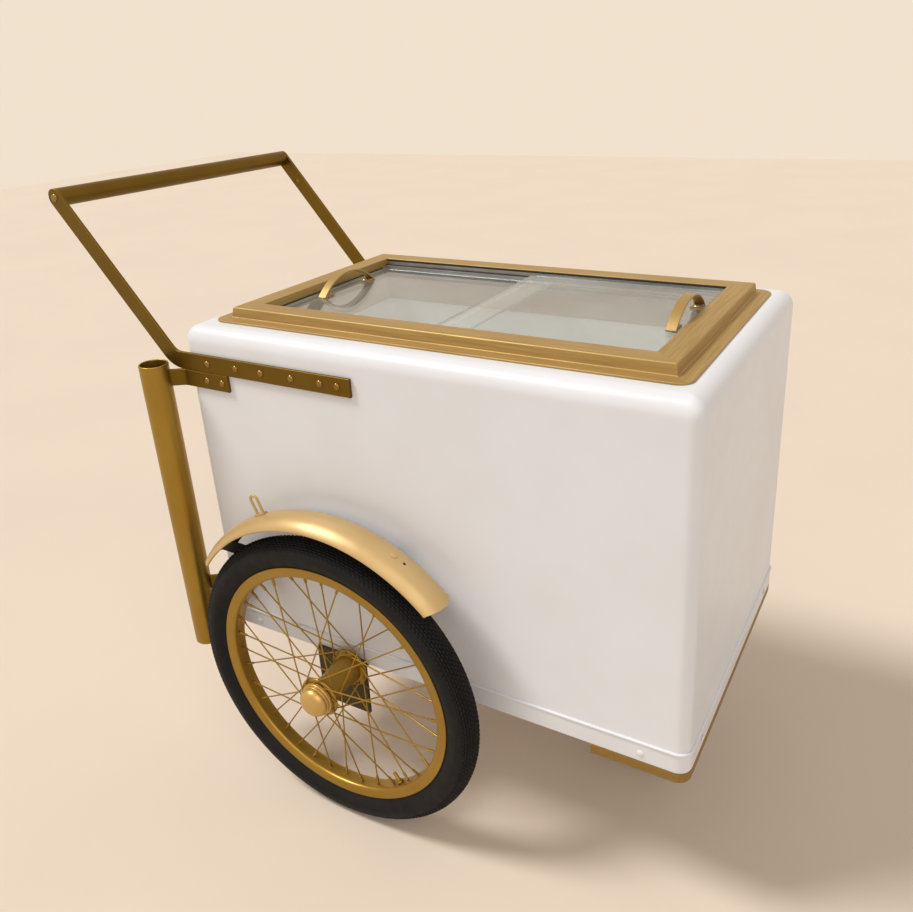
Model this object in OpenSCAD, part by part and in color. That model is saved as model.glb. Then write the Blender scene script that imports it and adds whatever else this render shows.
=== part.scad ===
// Ice cream push cart: an insulated box with two sliding glass panes, a push handle, an umbrella
// tube, two spoked road wheels under fenders and one swivelling front caster.
// Millimetres. +X points forward, away from the push handle, +Y to the far side and +Z up. The
// origin lies on the ground, in the middle of the cart's length and width. Pieces that come in
// pairs are drawn on the near side, where Y is negative, and mirrored to the far side.

/* [Body] */
// Length of the body, rear face to front face
body_len = 796; // [700:1:900]
// Width of the body, side to side
body_wid = 518; // [480:1:580]
// Height of the body, underside to top
body_ht = 524; // [460:1:600]
// Radius of the body's upright corners
body_edge_r = 18; // [12:1:45]
// Radius of the body's top edges
body_top_r = 24; // [15:1:32]
// How far the body's front face leans back over the body's height
front_lean = 18; // [0:1:24]
// Thickness of the body's outer shell
shell_t = 3; // [2:0.5:5]

/* [Base] */
// Thickness of the base pan
pan_t = 1.5; // [1:0.25:3]
// Height of the pan's upturned strip around the body
strip_ht = 34; // [22:1:44]
// Radius of a rivet head on the strip
rivet_r = 5; // [3:0.5:7]
// How far a rivet head stands out
rivet_rise = 2; // [1:0.25:3]
// Height of a rivet above the strip's foot
rivet_up = 14; // [8:0.5:15]
// Distance from a body corner to the rivet beside it
rivet_inset = 64; // [50:1:120]
// Length of the caster board under the front of the body
board_len = 134; // [125:1:200]
// Thickness of the caster board
board_t = 16; // [10:1:24]

/* [Freezer tub] */
// Thickness of the foam under the tub
foam_floor = 70; // [40:1:100]
// Thickness of the tub's liner
liner_t = 2; // [1:0.25:4]
// Thickness of the throat collar
collar_t = 3; // [2:0.25:4.5]
// Depth of the throat collar below the body's top sheet
collar_ht = 50; // [30:1:80]
// How far the collar's inner faces lie inside the frame's mouth
collar_in = 5; // [5:0.5:8]

/* [Top frame] */
// Length of the top frame over its flange
frame_len = 721; // [640:1:726]
// Width of the top frame over its flange
frame_wid = 445; // [400:1:455]
// How far the frame's middle lies behind the body's middle
frame_back = 7; // [0:0.5:9]
// Radius of the flange's corners
frame_corner_r = 20; // [10:1:30]
// Thickness of the flange at its outer edge
flange_t = 3; // [2:0.5:5]
// Width of the flat flange outside the steep face
flange_run = 21; // [12:0.5:26]
// How far the steep face leans in from the flange up to the rim
slope_run = 2; // [1:0.25:6]
// Width of the rim's flat top
rim_flat = 33.5; // [28:0.5:38]
// Height of the rim's top above the body
rim_ht = 18; // [17:0.2:26]

/* [Sliding panes] */
// Thickness of the glass
glass_t = 4; // [3:0.5:5]
// How far the two panes overlap when shut
pane_overlap = 39; // [25:1:80]
// How far ahead of the mouth's middle the overlap of the shut panes lies
overlap_ahead = 9.5; // [0:0.5:15]
// Depth of the upper pane's top below the rim
upper_drop = 5; // [3:0.5:6]
// Space between the two panes, one above the other
pane_gap = 4; // [3.5:0.5:5]
// Width of the upper ledge of a track
upper_ledge = 11; // [9:0.5:14]
// Width of the lower ledge of a track
lower_ledge = 9; // [8:0.5:12]
// Thickness of the glide strips that the panes run on
glide_t = 1.2; // [0.8:0.1:1.5]
// Width of the glide strips
glide_w = 5; // [3:0.5:6]
// Gap between a pane and the glide strip below it
slide_gap = 0.3; // [0.2:0.05:0.5]
// Gap between a pane's edges and the frame or track beside them
pane_side_gap = 1.5; // [1:0.25:2.5]
// Thickness of the seals at the mouth's two ends
seal_t = 3; // [2:0.5:5]
// Gap between a shut pane and its end seal
seal_gap = 0.5; // [0.3:0.1:1]
// Length of a pane handle over its feet
pull_len = 140; // [110:1:170]
// Height of a pane handle
pull_rise = 30; // [24:1:40]
// Width of a pane handle's strap
pull_w = 15; // [12:0.5:20]
// Thickness of a pane handle's strap
pull_t = 3; // [2:0.25:4]
// Length of a pane handle's foot
pull_foot = 26; // [24:0.5:30]
// Distance from the left pane's end to the middle of its handle
left_pull_inset = 27.5; // [20:0.5:32]
// Distance from the right pane's end to the middle of its handle
right_pull_inset = 10; // [9:0.5:14]
// Radius of a pane handle screw
pull_screw_r = 2; // [1.5:0.25:2.5]

/* [Push handle] */
// Width of a push bar
bar_w = 27; // [22:0.5:34]
// Thickness of a push bar
bar_t = 5; // [4:0.5:8]
// Length of a push bar along the body, from the body's rear face
bar_front = 309; // [240:1:380]
// Distance from the body's rear face back to the bar's bend
bar_bend_back = 20; // [10:1:40]
// Horizontal run of the bar's slope, bend to grip
bar_run = 195; // [150:1:260]
// Rise of the bar's slope, bend to grip
bar_rise = 230; // [170:1:300]
// Depth of the bar's middle below the body's top
bar_drop = 53; // [48:1:80]
// Outer diameter of the grip tube
grip_od = 27; // [22:0.5:34]
// Wall of the grip tube
grip_wall = 2; // [1.5:0.25:3]
// Length of the plug in each end of the grip tube
plug_len = 30; // [20:1:45]

/* [Umbrella tube] */
// Outer diameter of the umbrella tube
tube_od = 44.5; // [38:0.5:52]
// Wall of the umbrella tube
tube_wall = 2.5; // [2:0.25:4]
// Length of the umbrella tube
tube_len = 503; // [440:1:600]
// Depth of the tube's top below the body's top
tube_drop = 55.8; // [50:0.2:65]
// Distance from the body's rear face back to the tube's middle
tube_back = 41.3; // [38:0.1:60]
// Distance from the body's side out to the tube's middle
tube_out = 28; // [27.5:0.5:34]
// Thickness of the disc that closes the tube's foot
tube_disc_t = 4; // [3:0.5:8]
// Length of the upper tube bracket along the body, from the body's rear face
bracket_front = 84; // [60:1:120]
// Length of the lower tube bracket along the body, from the body's rear face
lower_bracket_front = 50; // [50:1:120]
// Width of a tube bracket
bracket_w = 26; // [20:1:32]
// Thickness of a tube bracket
bracket_t = 5; // [4:0.5:6]
// Height of the lower tube bracket's middle above the base strip
lower_bracket_up = 41; // [16:1:60]

/* [Road wheels] */
// Outer radius of the tyre, which is also the height of the axle
tyre_r = 255; // [240:1:275]
// Width of the tyre
tyre_w = 46; // [40:1:52]
// Thickness of the tyre's tread and walls
tyre_wall = 5; // [4:0.5:7]
// Radius of the rim's outer edges
rim_r = 210; // [205:1:214]
// Width of the rim
rim_w = 29; // [25:0.5:34]
// Thickness of the rim's side walls
rim_wall = 2.5; // [2:0.25:4]
// Depth of the tyre's bed below the rim's edges
rim_bed = 9; // [6:0.5:12]
// Depth of the rim from its edges to its inner face
rim_depth = 18; // [16:0.5:24]
// Distance from the body's rear face to the axle
axle_from_rear = 259; // [240:1:300]
// Distance from the body's side to a road wheel's middle plane
wheel_out = 54.5; // [52:0.5:80]
// How far the axle lies below the body's underside
axle_drop = 6; // [0:0.5:20]
// Number of spokes in a wheel
spoke_count = 36; // [28:4:36]
// Radius of a spoke
spoke_r = 1.1; // [0.9:0.1:1.4]
// Angle by which a spoke leans round the hub
spoke_lean = 58; // [40:1:70]
// Length of a spoke nipple
nipple_len = 13; // [10:1:16]
// Radius of a spoke nipple
nipple_r = 2.1; // [1.8:0.1:2.6]

/* [Hubs] */
// Radius of the hub's barrel
barrel_r = 23; // [20:0.5:25]
// Radius of the hub's flanges
flange_r = 33; // [32:0.5:36]
// Thickness of a hub flange
hub_flange_t = 4; // [3:0.5:5]
// Distance from the wheel's middle plane out to the outer flange
outer_flange = 36; // [30:0.5:40]
// Distance from the wheel's middle plane in to the inner flange
inner_flange = 40; // [34:0.5:41]
// How far the hub's ends stand past its flanges
hub_past = 4; // [3:0.5:6]
// Radius of the stub axle
stub_r = 7.5; // [6:0.25:9]
// Outer radius of a wheel bearing
bearing_r = 16; // [14:0.5:18]
// Width of a wheel bearing
bearing_w = 9; // [7:0.5:12]
// Radius of the dust cap
cap_r = 27; // [22:0.5:27]
// Length of the dust cap
cap_len = 25; // [20:0.5:28]
// Wall of the dust cap
cap_wall = 1.5; // [1.5:0.25:3]
// Thickness of the axle nut
nut_t = 9; // [7:0.5:12]
// How far the stub axle stands past its nut
stub_past = 2; // [1:0.25:3]
// Radius of the axle nut over its corners
nut_r = 13; // [11:0.5:14]

/* [Axle brackets] */
// Thickness of an axle bracket
plate_t = 5; // [4:0.5:8]
// Length of an axle bracket ahead of the axle
plate_front = 25; // [20:1:50]
// Length of an axle bracket behind the axle
plate_rear = 69; // [40:1:90]
// Depth of an axle bracket's upright leg below the body
plate_down = 96; // [60:1:120]
// Height of the upright leg's top above the body's underside
plate_up = 8; // [6:1:15]
// Length of the bracket's flat leg under the body
plate_leg = 60; // [40:1:80]

/* [Fenders] */
// Outer radius of a fender's crown
fender_r = 281; // [278:1:292]
// Radius of the fender's arched section
fender_bow = 38; // [34:1:48]
// Half the width of a fender
fender_half = 31.6; // [28:0.2:33]
// Thickness of a fender
fender_t = 1.5; // [1:0.25:2.5]
// How far the fender's centre lies ahead of the axle
fender_ahead = 10.6; // [0:0.1:12]
// How far the fender's centre lies above the axle
fender_above = 16.5; // [10:0.1:25]
// Angle of the fender's front end above level
fender_front_deg = 43.5; // [30:0.5:52]
// Angle of the fender's rear end
fender_rear_deg = 145.5; // [144:0.5:150]
// How far the middle of a fender's end reaches past its corners
fender_tongue = 10; // [4:0.5:14]
// Angle of the front stay
front_stay_deg = 63.5; // [63:0.5:75]
// Angle of the rear stay
rear_stay_deg = 140; // [122:0.5:140]
// Width of a fender stay
stay_w = 28; // [22:1:28]
// Thickness of a fender stay
stay_t = 3; // [2:0.25:4]
// How far below the fender's edge a stay crosses to the body
stay_low = 24; // [6:0.5:26]
// Length of a stay's flat end on the body
stay_tab = 26; // [20:1:36]
// Angle of the loop on the fender's crown
loop_deg = 113; // [100:0.5:122]
// Height of the loop above the crown
loop_ht = 33; // [22:1:36]
// Width of the loop
loop_w = 17; // [11:0.5:18]
// Thickness of the loop's flat ring
loop_t = 3; // [2:0.25:4]
// Angle of the open hole in the fender's crown
hole_deg = 59.8; // [50:0.1:60]
// Radius of the open hole in the fender's crown
hole_r = 2.6; // [2:0.1:4]

/* [Front caster] */
// Radius of the caster's wheel
caster_r = 100; // [80:1:104]
// Width of the caster's tyre
caster_w = 36; // [30:1:44]
// Thickness of the caster's tyre
caster_tyre_t = 20; // [12:1:28]
// Distance from the body's front face back to the swivel
swivel_from_front = 81; // [56:1:84]
// Distance by which the caster's wheel trails behind the swivel
caster_trail = 60; // [45:1:70]
// Length of the caster's top plate
top_plate_len = 100; // [90:1:120]
// Width of the caster's top plate
top_plate_wid = 86; // [76:1:120]
// Thickness of the caster's top plate
top_plate_t = 6; // [4:0.5:8]
// Outer radius of the swivel's race
race_r = 30; // [26:0.5:34]
// Height of the swivel's race
race_ht = 10; // [8:0.5:14]
// Radius of the kingpin
kingpin_r = 8; // [6:0.5:10]
// Thickness of the fork's crown and legs
fork_t = 5; // [4:0.5:7]
// Gap between the caster's tyre and a leg of the fork
caster_side = 3; // [2:0.5:6]
// Radius of the caster's axle bolt
caster_axle_r = 6; // [5:0.5:8]

/* [Fasteners and fits] */
// Radius of a frame bolt
bolt_r = 3; // [2.5:0.25:4]
// Radius of a frame bolt's domed head
bolt_head_r = 5.5; // [4.5:0.25:7]
// Height of a frame bolt's domed head
bolt_head_ht = 3; // [2:0.25:4]
// How far a frame bolt reaches past the shell or pan that it holds
bolt_grip = 9; // [5:0.5:15]
// Gap around a bolt, screw or spoke in its hole
hole_gap = 0.15; // [0.1:0.05:0.3]
// Gap around a shaft that turns
run_gap = 0.05; // [0.02:0.01:0.08]
// Gap beside a face that turns
side_gap = 0.4; // [0.3:0.05:0.8]
// Gap left for a weld or a seated edge
seat_gap = 0.2; // [0.1:0.05:0.3]

/* [Hidden] */
$fn = 64;
// How far cutting shapes run past the faces they cut
over = 1;

gold = [0.62, 0.46, 0.22];
white = [0.93, 0.92, 0.91];

// Heights
axle_z = tyre_r;
body_z = axle_z + axle_drop;
body_top = body_z + body_ht;
shell_z = body_z + pan_t;
rivet_z = body_z + rivet_up;
sheet_z = body_top - shell_t;
rim_top = body_top + rim_ht;
bar_z = body_top - bar_drop;
grip_z = bar_z + bar_rise;
tube_top = body_top - tube_drop;
tube_z = tube_top - tube_len;
board_z = body_z - board_t;
collar_z = sheet_z - collar_ht;
tub_z = shell_z + foam_floor;

// Places along the cart, with the cart's length centred on the origin
handle_reach = bar_bend_back + bar_run + max(bar_w, grip_od) / 2;
rear_x = (handle_reach - body_len - pan_t - rivet_rise) / 2;
front_x = rear_x + body_len;
lean_deg = atan(front_lean / body_ht);
mid_x = rear_x + body_len / 2;
mouth_x = mid_x - frame_back;
axle_x = rear_x + axle_from_rear;
// The front face's place at a height, drawn in by a wall
function lean_x(wall, z) = front_x - wall / cos(lean_deg) - (z - body_z) * tan(lean_deg);
swivel_x = front_x - swivel_from_front;
tube_x = rear_x - tube_back;
grip_x = rear_x - bar_bend_back - bar_run;
side_y = body_wid / 2;
wheel_y = side_y + wheel_out;
tube_y = -side_y - tube_out;

// The top frame's mouth, the collar and the tub below it
frame_width = flange_run + slope_run + rim_flat;
mouth_len = frame_len - 2 * frame_width;
mouth_wid = frame_wid - 2 * frame_width;
throat_len = mouth_len - 2 * collar_in;
throat_wid = mouth_wid - 2 * collar_in;
collar_len = throat_len + 2 * collar_t;
collar_wid = throat_wid + 2 * collar_t;

// The panes and the stepped tracks that carry them
upper_z = rim_top - upper_drop - glass_t;
lower_z = upper_z - pane_gap - glass_t;
upper_ledge_z = upper_z - slide_gap - glide_t;
lower_ledge_z = lower_z - slide_gap - glide_t;
upper_edge_y = mouth_wid / 2 - upper_ledge;
lower_edge_y = upper_edge_y - lower_ledge;
pane_room = mouth_len - 2 * (seal_t + seal_gap);
even_pane_len = (pane_room + pane_overlap) / 2;
left_pane_len = even_pane_len + overlap_ahead;
right_pane_len = even_pane_len - overlap_ahead;
upper_wid = mouth_wid - 2 * pane_side_gap;
lower_wid = 2 * (upper_edge_y - pane_side_gap);
left_end_x = mouth_x - pane_room / 2;
right_end_x = mouth_x + pane_room / 2;
left_pull_x = left_end_x + left_pull_inset;
right_pull_x = right_end_x - right_pull_inset;
pull_screw_y = pull_len / 2 - pull_foot + 3 * pull_screw_r;
pull_nut_t = pull_screw_r * 1.2;
pull_head_ht = pull_screw_r;

// Bolt places, as shares of the length of bar or bracket that lies on the body
bar_bolt_shares = [0.155, 0.335, 0.49, 0.67, 0.835, 0.93];
bracket_bolt_shares = [0.5, 0.86];
upper_bracket_z = bar_z - bar_w / 2 - seat_gap - bracket_w / 2;
lower_bracket_z = body_z + strip_ht + lower_bracket_up;

// The hub and its stub axle, measured out from the wheel's middle plane
hub_out = outer_flange + hub_past;
hub_in = inner_flange + hub_past;
plate_y = side_y + pan_t + seat_gap;
plate_face = wheel_y - plate_y - plate_t;
nut_z = hub_out + side_gap;
stub_end = nut_z + nut_t + stub_past;
spoke_hole_r = (barrel_r + flange_r) / 2 + spoke_r;
stub_collar_r = stub_r + hub_past;
head_r = 1.3 * spoke_r;

// The fender's edge, and the place of the stays under it
lip_drop = fender_bow - sqrt(pow(fender_bow, 2) - pow(fender_half, 2));
lip_r = fender_r - lip_drop;
stay_seat = fender_half / 4;
inner_crown = fender_r - fender_bow + sqrt(pow(fender_bow - fender_t, 2) - pow(stay_seat, 2));
stay_r = inner_crown - seat_gap - stay_t / 2;
end_r = (pow(fender_half, 2) + pow(fender_tongue, 2)) / (2 * fender_tongue);
stay_under = lip_r - stay_low;
stay_body = -wheel_out;
stay_bolt_r = stay_under - stay_tab * 0.6;
stay_degs = [front_stay_deg, rear_stay_deg];

// The caster, from the ground up
caster_x = swivel_x - caster_trail;
top_plate_z = board_z - top_plate_t;
race_z = top_plate_z - race_ht;
crown_z = race_z - side_gap - fork_t;
leg_gap = caster_w / 2 + caster_side;
kingpin_head_r = kingpin_r * 1.6;
kingpin_head_ht = kingpin_r * 0.9;
crown_r = race_r * 1.05;
fork_eye_r = caster_axle_r * 2.6;
caster_core_r = caster_r - caster_tyre_t;
plate_bolt_x = top_plate_len / 2 - 2.2 * bolt_head_r;
plate_bolt_y = top_plate_wid / 2 - 2.2 * bolt_head_r;

// General shapes

module near_or_far(far) {
  if (far) mirror([0, 1, 0]) children();
  else children();
}

// A rectangle about the origin with round corners
module round_rect(len, wid, r) {
  square([len - 2 * r, wid], center = true);
  square([len, wid - 2 * r], center = true);
  for (sx = [-1, 1], sy = [-1, 1])
    translate([sx * (len / 2 - r), sy * (wid / 2 - r)]) circle(r);
}

// A flat strap of one thickness that follows a row of points
module strap(points, t) {
  for (i = [0 : len(points) - 2]) {
    step = points[i + 1] - points[i];
    translate(points[i]) rotate(atan2(step.y, step.x)) translate([0, -t / 2]) square([norm(step), t]);
    if (i > 0) translate(points[i]) circle(t / 2);
  }
}

// A round rod from one point to another
module rod(a, b, r) {
  d = b - a;
  translate(a) rotate([0, acos(d.z / norm(d)), atan2(d.y, d.x)]) cylinder(h = norm(d), r = r);
}

// A domed head that stands on z = 0
module dome(r, h) {
  ball = (r * r + h * h) / (2 * h);
  intersection() {
    translate([0, 0, h - ball]) sphere(ball);
    cylinder(h = h, r = 2 * r);
  }
}

// A domed bolt whose head stands on z = 0 and whose shank runs down
module domed_bolt(shank) {
  dome(bolt_head_r, bolt_head_ht);
  translate([0, 0, -shank]) cylinder(h = shank + bolt_head_ht / 2, r = bolt_r);
}

// Turns a shape drawn upright so that it points out of the near side
module facing_near(x, y, z) {
  translate([x, y, z]) rotate([90, 0, 0]) children();
}

// Draws in the near wheel's plane: x ahead, y up and z outboard, from the axle
module at_wheel() {
  facing_near(axle_x, -wheel_y, axle_z) children();
}

// Draws about the fender's own centre, turned to an angle
module at_fender(deg) {
  at_wheel() translate([fender_ahead, fender_above, 0]) rotate(deg) children();
}

module at_body_middle(z) {
  translate([mid_x, 0, z]) children();
}

module at_mouth(z) {
  translate([mouth_x, 0, z]) children();
}

// Places of the bolts that go through the body's sides

module at_bar_bolts() {
  for (share = bar_bolt_shares) facing_near(rear_x + share * bar_front, -side_y, bar_z) children();
}

module at_bracket_bolts() {
  for (share = bracket_bolt_shares) {
    facing_near(rear_x + share * bracket_front, -side_y, upper_bracket_z) children();
    facing_near(rear_x + share * lower_bracket_front, -side_y, lower_bracket_z) children();
  }
}

module at_stay_bolts() {
  for (deg = stay_degs) at_fender(deg) translate([stay_bolt_r, 0, stay_body]) children();
}

module at_side_bolts() {
  for (far = [false, true]) near_or_far(far) {
    at_bar_bolts() children();
    at_stay_bolts() children();
  }
  at_bracket_bolts() children();
}

// Places of the bolts and screws that go up through the base

module at_plate_bolts() {
  for (far = [false, true]) near_or_far(far)
    for (end = [-plate_rear + 2 * bolt_head_r, plate_front - 2 * bolt_head_r], share = [0.35, 0.8])
      translate([axle_x + end, -plate_y + share * plate_leg, body_z]) children();
}

module at_board_screws() {
  for (x = [front_x - board_len + 3 * bolt_head_r, front_x - 3 * bolt_head_r], s = [-1, 1])
    translate([x, s * (side_y - 3 * body_edge_r), body_z]) children();
}

module bolt_hole(reach) {
  translate([0, 0, -reach]) cylinder(h = 2 * reach, r = bolt_r + hole_gap);
}

// Body

// A block as large as the body, drawn in by a wall, with round corners and a round top. An upright
// prism that runs on past the front rounds the rear corners, and one that leans back and runs on past
// the rear rounds the front corners.
module body_block(wall, low) {
  width = body_wid - 2 * wall;
  high = body_top - wall;
  edge = max(body_edge_r - wall, shell_t);
  top = max(body_top_r - wall, shell_t);
  intersection() {
    translate([rear_x + wall + body_len, 0, low]) linear_extrude(high - low)
      round_rect(2 * body_len, width, edge);
    translate([front_x, 0, body_z]) rotate([0, -lean_deg, 0])
      translate([-wall - body_len, 0, -body_ht]) linear_extrude(3 * body_ht)
        round_rect(2 * body_len, width, edge);
    rotate([90, 0, 0]) linear_extrude(2 * body_wid, center = true) side_outline(wall, low, high, top);
    at_body_middle(0) rotate([90, 0, 90])
      linear_extrude(2 * body_len, center = true) round_top(width, low, high, top);
  }
}

// The block seen from the side: its rear face upright, its front face leaning back, both top corners round
module side_outline(wall, low, high, r) {
  rear = rear_x + wall;
  centre_z = high - r;
  front_low = lean_x(wall, low);
  front_c = lean_x(wall + r, centre_z);
  polygon([[rear, low], [front_low, low],
           [front_c + r * cos(lean_deg), centre_z + r * sin(lean_deg)], [front_c, high],
           [rear + r, high], [rear, centre_z]]);
  for (x = [front_c, rear + r]) translate([x, centre_z]) circle(r);
}

// An upright rectangle with its two top corners rounded
module round_top(width, low, high, r) {
  translate([-width / 2, low]) square([width, high - low - r]);
  translate([-width / 2 + r, low]) square([width - 2 * r, high - low]);
  for (s = [-1, 1]) translate([s * (width / 2 - r), high - r]) circle(r);
}

module mouth_hole(z, ht) {
  at_mouth(z) linear_extrude(ht) square([mouth_len, mouth_wid], center = true);
}

module body_shell() {
  color(white) difference() {
    body_block(0, shell_z);
    body_block(shell_t, shell_z - over);
    mouth_hole(sheet_z - over, shell_t + 2 * over);
    at_side_bolts() bolt_hole(2 * shell_t);
  }
}

module base_pan() {
  color(white) difference() {
    at_body_middle(body_z) linear_extrude(strip_ht)
      round_rect(body_len + 2 * pan_t, body_wid + 2 * pan_t, body_edge_r + pan_t);
    at_body_middle(shell_z) linear_extrude(strip_ht) round_rect(body_len, body_wid, body_edge_r);
    at_plate_bolts() bolt_hole(2 * pan_t);
    at_board_screws() bolt_hole(2 * pan_t);
  }
}

module base_rivets() {
  color(white) {
    for (s = [-1, 1], x = [rear_x + rivet_inset, front_x - rivet_inset])
      translate([x, s * (side_y + pan_t), rivet_z]) rotate([-90 * s, 0, 0]) dome(rivet_r, rivet_rise);
    for (s = [-1, 1], e = [-1, 1])
      translate([mid_x + e * (body_len / 2 + pan_t), s * (side_y - rivet_inset), rivet_z])
        rotate([0, 90 * e, 0]) dome(rivet_r, rivet_rise);
  }
}

module insulation() {
  color("khaki") difference() {
    body_block(shell_t, shell_z);
    at_mouth(tub_z) linear_extrude(sheet_z - tub_z + over)
      square([collar_len, collar_wid], center = true);
    at_side_bolts() bolt_hole(shell_t + bolt_grip + over);
    at_plate_bolts() bolt_hole(pan_t + bolt_grip + over);
    at_board_screws() bolt_hole(pan_t + bolt_grip + over);
  }
}

module inner_liner() {
  color("whitesmoke") difference() {
    at_mouth(tub_z) linear_extrude(collar_z - tub_z) square([collar_len, collar_wid], center = true);
    at_mouth(tub_z + liner_t) linear_extrude(collar_z - tub_z)
      square([collar_len - 2 * liner_t, collar_wid - 2 * liner_t], center = true);
  }
}

module throat_collar() {
  color("tan") at_mouth(collar_z) linear_extrude(collar_ht) difference() {
    square([collar_len, collar_wid], center = true);
    square([throat_len, throat_wid], center = true);
  }
}

module caster_board() {
  color(gold) difference() {
    translate([0, 0, board_z]) linear_extrude(board_t) difference() {
      translate([mid_x, 0]) round_rect(body_len + 2 * pan_t, body_wid + 2 * pan_t, body_edge_r + pan_t);
      translate([rear_x - body_len, -body_wid]) square([2 * body_len - board_len, 2 * body_wid]);
    }
    at_board_screws() bolt_hole(2 * board_t);
    at_caster_bolts() bolt_hole(2 * board_t);
  }
}

module board_screws() {
  color("silver") at_board_screws() translate([0, 0, -board_t]) mirror([0, 0, 1])
    domed_bolt(board_t + pan_t + bolt_grip);
}

// Top frame and the sliding panes

// The frame's section, from its outer edge inward, standing on the body
module frame_section() {
  polygon([
    [0, 0], [0, flange_t], [flange_run, flange_t], [flange_run + slope_run, rim_ht],
    [frame_width, rim_ht], [frame_width, 0]
  ]);
}

// One side of the frame, of a given length, mitred at both ends
module frame_side(length, across) {
  intersection() {
    translate([0, -across / 2, 0]) rotate([90, 0, 90]) linear_extrude(length, center = true) frame_section();
    linear_extrude(rim_ht + over) polygon([
      [-length / 2, -across / 2], [length / 2, -across / 2],
      [length / 2 - frame_width, frame_width - across / 2],
      [frame_width - length / 2, frame_width - across / 2]
    ]);
  }
}

module top_frame() {
  color(gold) at_mouth(body_top) intersection() {
    union() {
      for (turn = [0, 180]) {
        rotate(turn) frame_side(frame_len, frame_wid);
        rotate(turn + 90) frame_side(frame_wid, frame_len);
      }
    }
    linear_extrude(rim_ht) round_rect(frame_len, frame_wid, frame_corner_r);
  }
}

// A stepped track on the near side of the mouth: the wide pane runs on its upper ledge
module track() {
  outer = mouth_wid / 2;
  at_mouth(0) rotate([90, 0, 90]) linear_extrude(mouth_len, center = true) polygon([
    [-outer, sheet_z], [-lower_edge_y, sheet_z], [-lower_edge_y, lower_ledge_z],
    [-upper_edge_y, lower_ledge_z], [-upper_edge_y, upper_ledge_z], [-outer, upper_ledge_z]
  ]);
}

module pane_tracks() {
  color("silver") for (far = [false, true]) near_or_far(far) track();
}

module glide_strips() {
  upper_y = upper_edge_y + upper_ledge / 2;
  lower_y = lower_edge_y + lower_ledge / 2;
  color([0.08, 0.08, 0.08]) for (s = [-1, 1], place = [[upper_y, upper_ledge_z], [lower_y, lower_ledge_z]])
    translate([mouth_x - mouth_len / 2, s * place[0] - glide_w / 2, place[1]])
      cube([mouth_len, glide_w, glide_t]);
}

module end_seals() {
  width = 2 * (lower_edge_y - seat_gap);
  tops = [lower_z + glass_t + seal_gap, upper_z + glass_t + seal_gap];
  color([0.08, 0.08, 0.08]) for (e = [0, 1])
    translate([mouth_x - mouth_len / 2 + e * (mouth_len - seal_t), -width / 2, sheet_z])
      cube([seal_t, width, tops[e] - sheet_z]);
}

module at_pull_screws(x, z) {
  for (s = [-1, 1]) translate([x, s * pull_screw_y, z]) children();
}

// A glass pane with the two holes for its handle's screws
module pane(x, length, width, z, pull_x) {
  color([0.75, 0.85, 0.85, 0.4]) difference() {
    translate([x, -width / 2, z]) cube([length, width, glass_t]);
    at_pull_screws(pull_x, z - over) cylinder(h = glass_t + 2 * over, r = pull_screw_r + hole_gap);
  }
}

// An arched strap across the pane, with its two flat feet turned in under it
module pane_handle(x, z) {
  half = pull_len / 2;
  bow = (half * half + pull_rise * pull_rise) / (2 * pull_rise);
  color(gold) difference() {
    translate([x, 0, z]) rotate([90, 0, 90]) linear_extrude(pull_w, center = true) {
      intersection() {
        translate([0, pull_rise - bow]) difference() {
          circle(bow);
          circle(bow - pull_t);
        }
        translate([-pull_len / 2, 0]) square([pull_len, pull_rise]);
      }
      for (s = [0, 1]) mirror([s, 0])
        translate([half - pull_foot, 0]) square([pull_foot - 1.5 * pull_t, pull_t]);
    }
    at_pull_screws(x, z - over) cylinder(h = pull_t + 2 * over, r = pull_screw_r + hole_gap);
  }
}

// Screws through a handle's feet and the glass, each with a nut below
module handle_screws(x, z) {
  foot = -glass_t - pull_nut_t;
  color("silver") at_pull_screws(x, z) {
    translate([0, 0, pull_t]) dome(2 * pull_screw_r, pull_head_ht);
    translate([0, 0, foot]) cylinder(h = pull_t + pull_head_ht / 2 - foot, r = pull_screw_r);
    translate([0, 0, foot]) cylinder(h = pull_nut_t, r = 2 * pull_screw_r, $fn = 6);
  }
}

module left_glass() {
  pane(left_end_x, left_pane_len, lower_wid, lower_z, left_pull_x);
}

module left_pane_handle() {
  pane_handle(left_pull_x, lower_z + glass_t);
}

module left_handle_screws() {
  handle_screws(left_pull_x, lower_z + glass_t);
}

module right_glass() {
  pane(right_end_x - right_pane_len, right_pane_len, upper_wid, upper_z, right_pull_x);
}

module right_pane_handle() {
  pane_handle(right_pull_x, upper_z + glass_t);
}

module right_handle_screws() {
  handle_screws(right_pull_x, upper_z + glass_t);
}

// Push handle

// A flat bar along the body's side that bends up to the grip
module push_bar() {
  slope = norm([bar_run, bar_rise]);
  color(gold) difference() {
    facing_near(rear_x, -side_y, bar_z) linear_extrude(bar_t) {
      translate([-bar_bend_back, -bar_w / 2]) square([bar_front + bar_bend_back, bar_w]);
      translate([-bar_bend_back, 0]) {
        circle(bar_w / 2);
        rotate(180 - atan2(bar_rise, bar_run)) translate([0, -bar_w / 2]) square([slope, bar_w]);
      }
      translate([-bar_bend_back - bar_run, bar_rise]) circle(bar_w / 2);
    }
    at_bar_bolts() bolt_hole(2 * bar_t);
    facing_near(grip_x, -side_y, grip_z) bolt_hole(2 * bar_t);
  }
}

module near_push_bar() {
  push_bar();
}

module far_push_bar() {
  mirror([0, 1, 0]) push_bar();
}

module push_bar_bolts() {
  color("goldenrod") for (far = [false, true]) near_or_far(far)
    at_bar_bolts() translate([0, 0, bar_t]) domed_bolt(bar_t + shell_t + bolt_grip);
}

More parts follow.
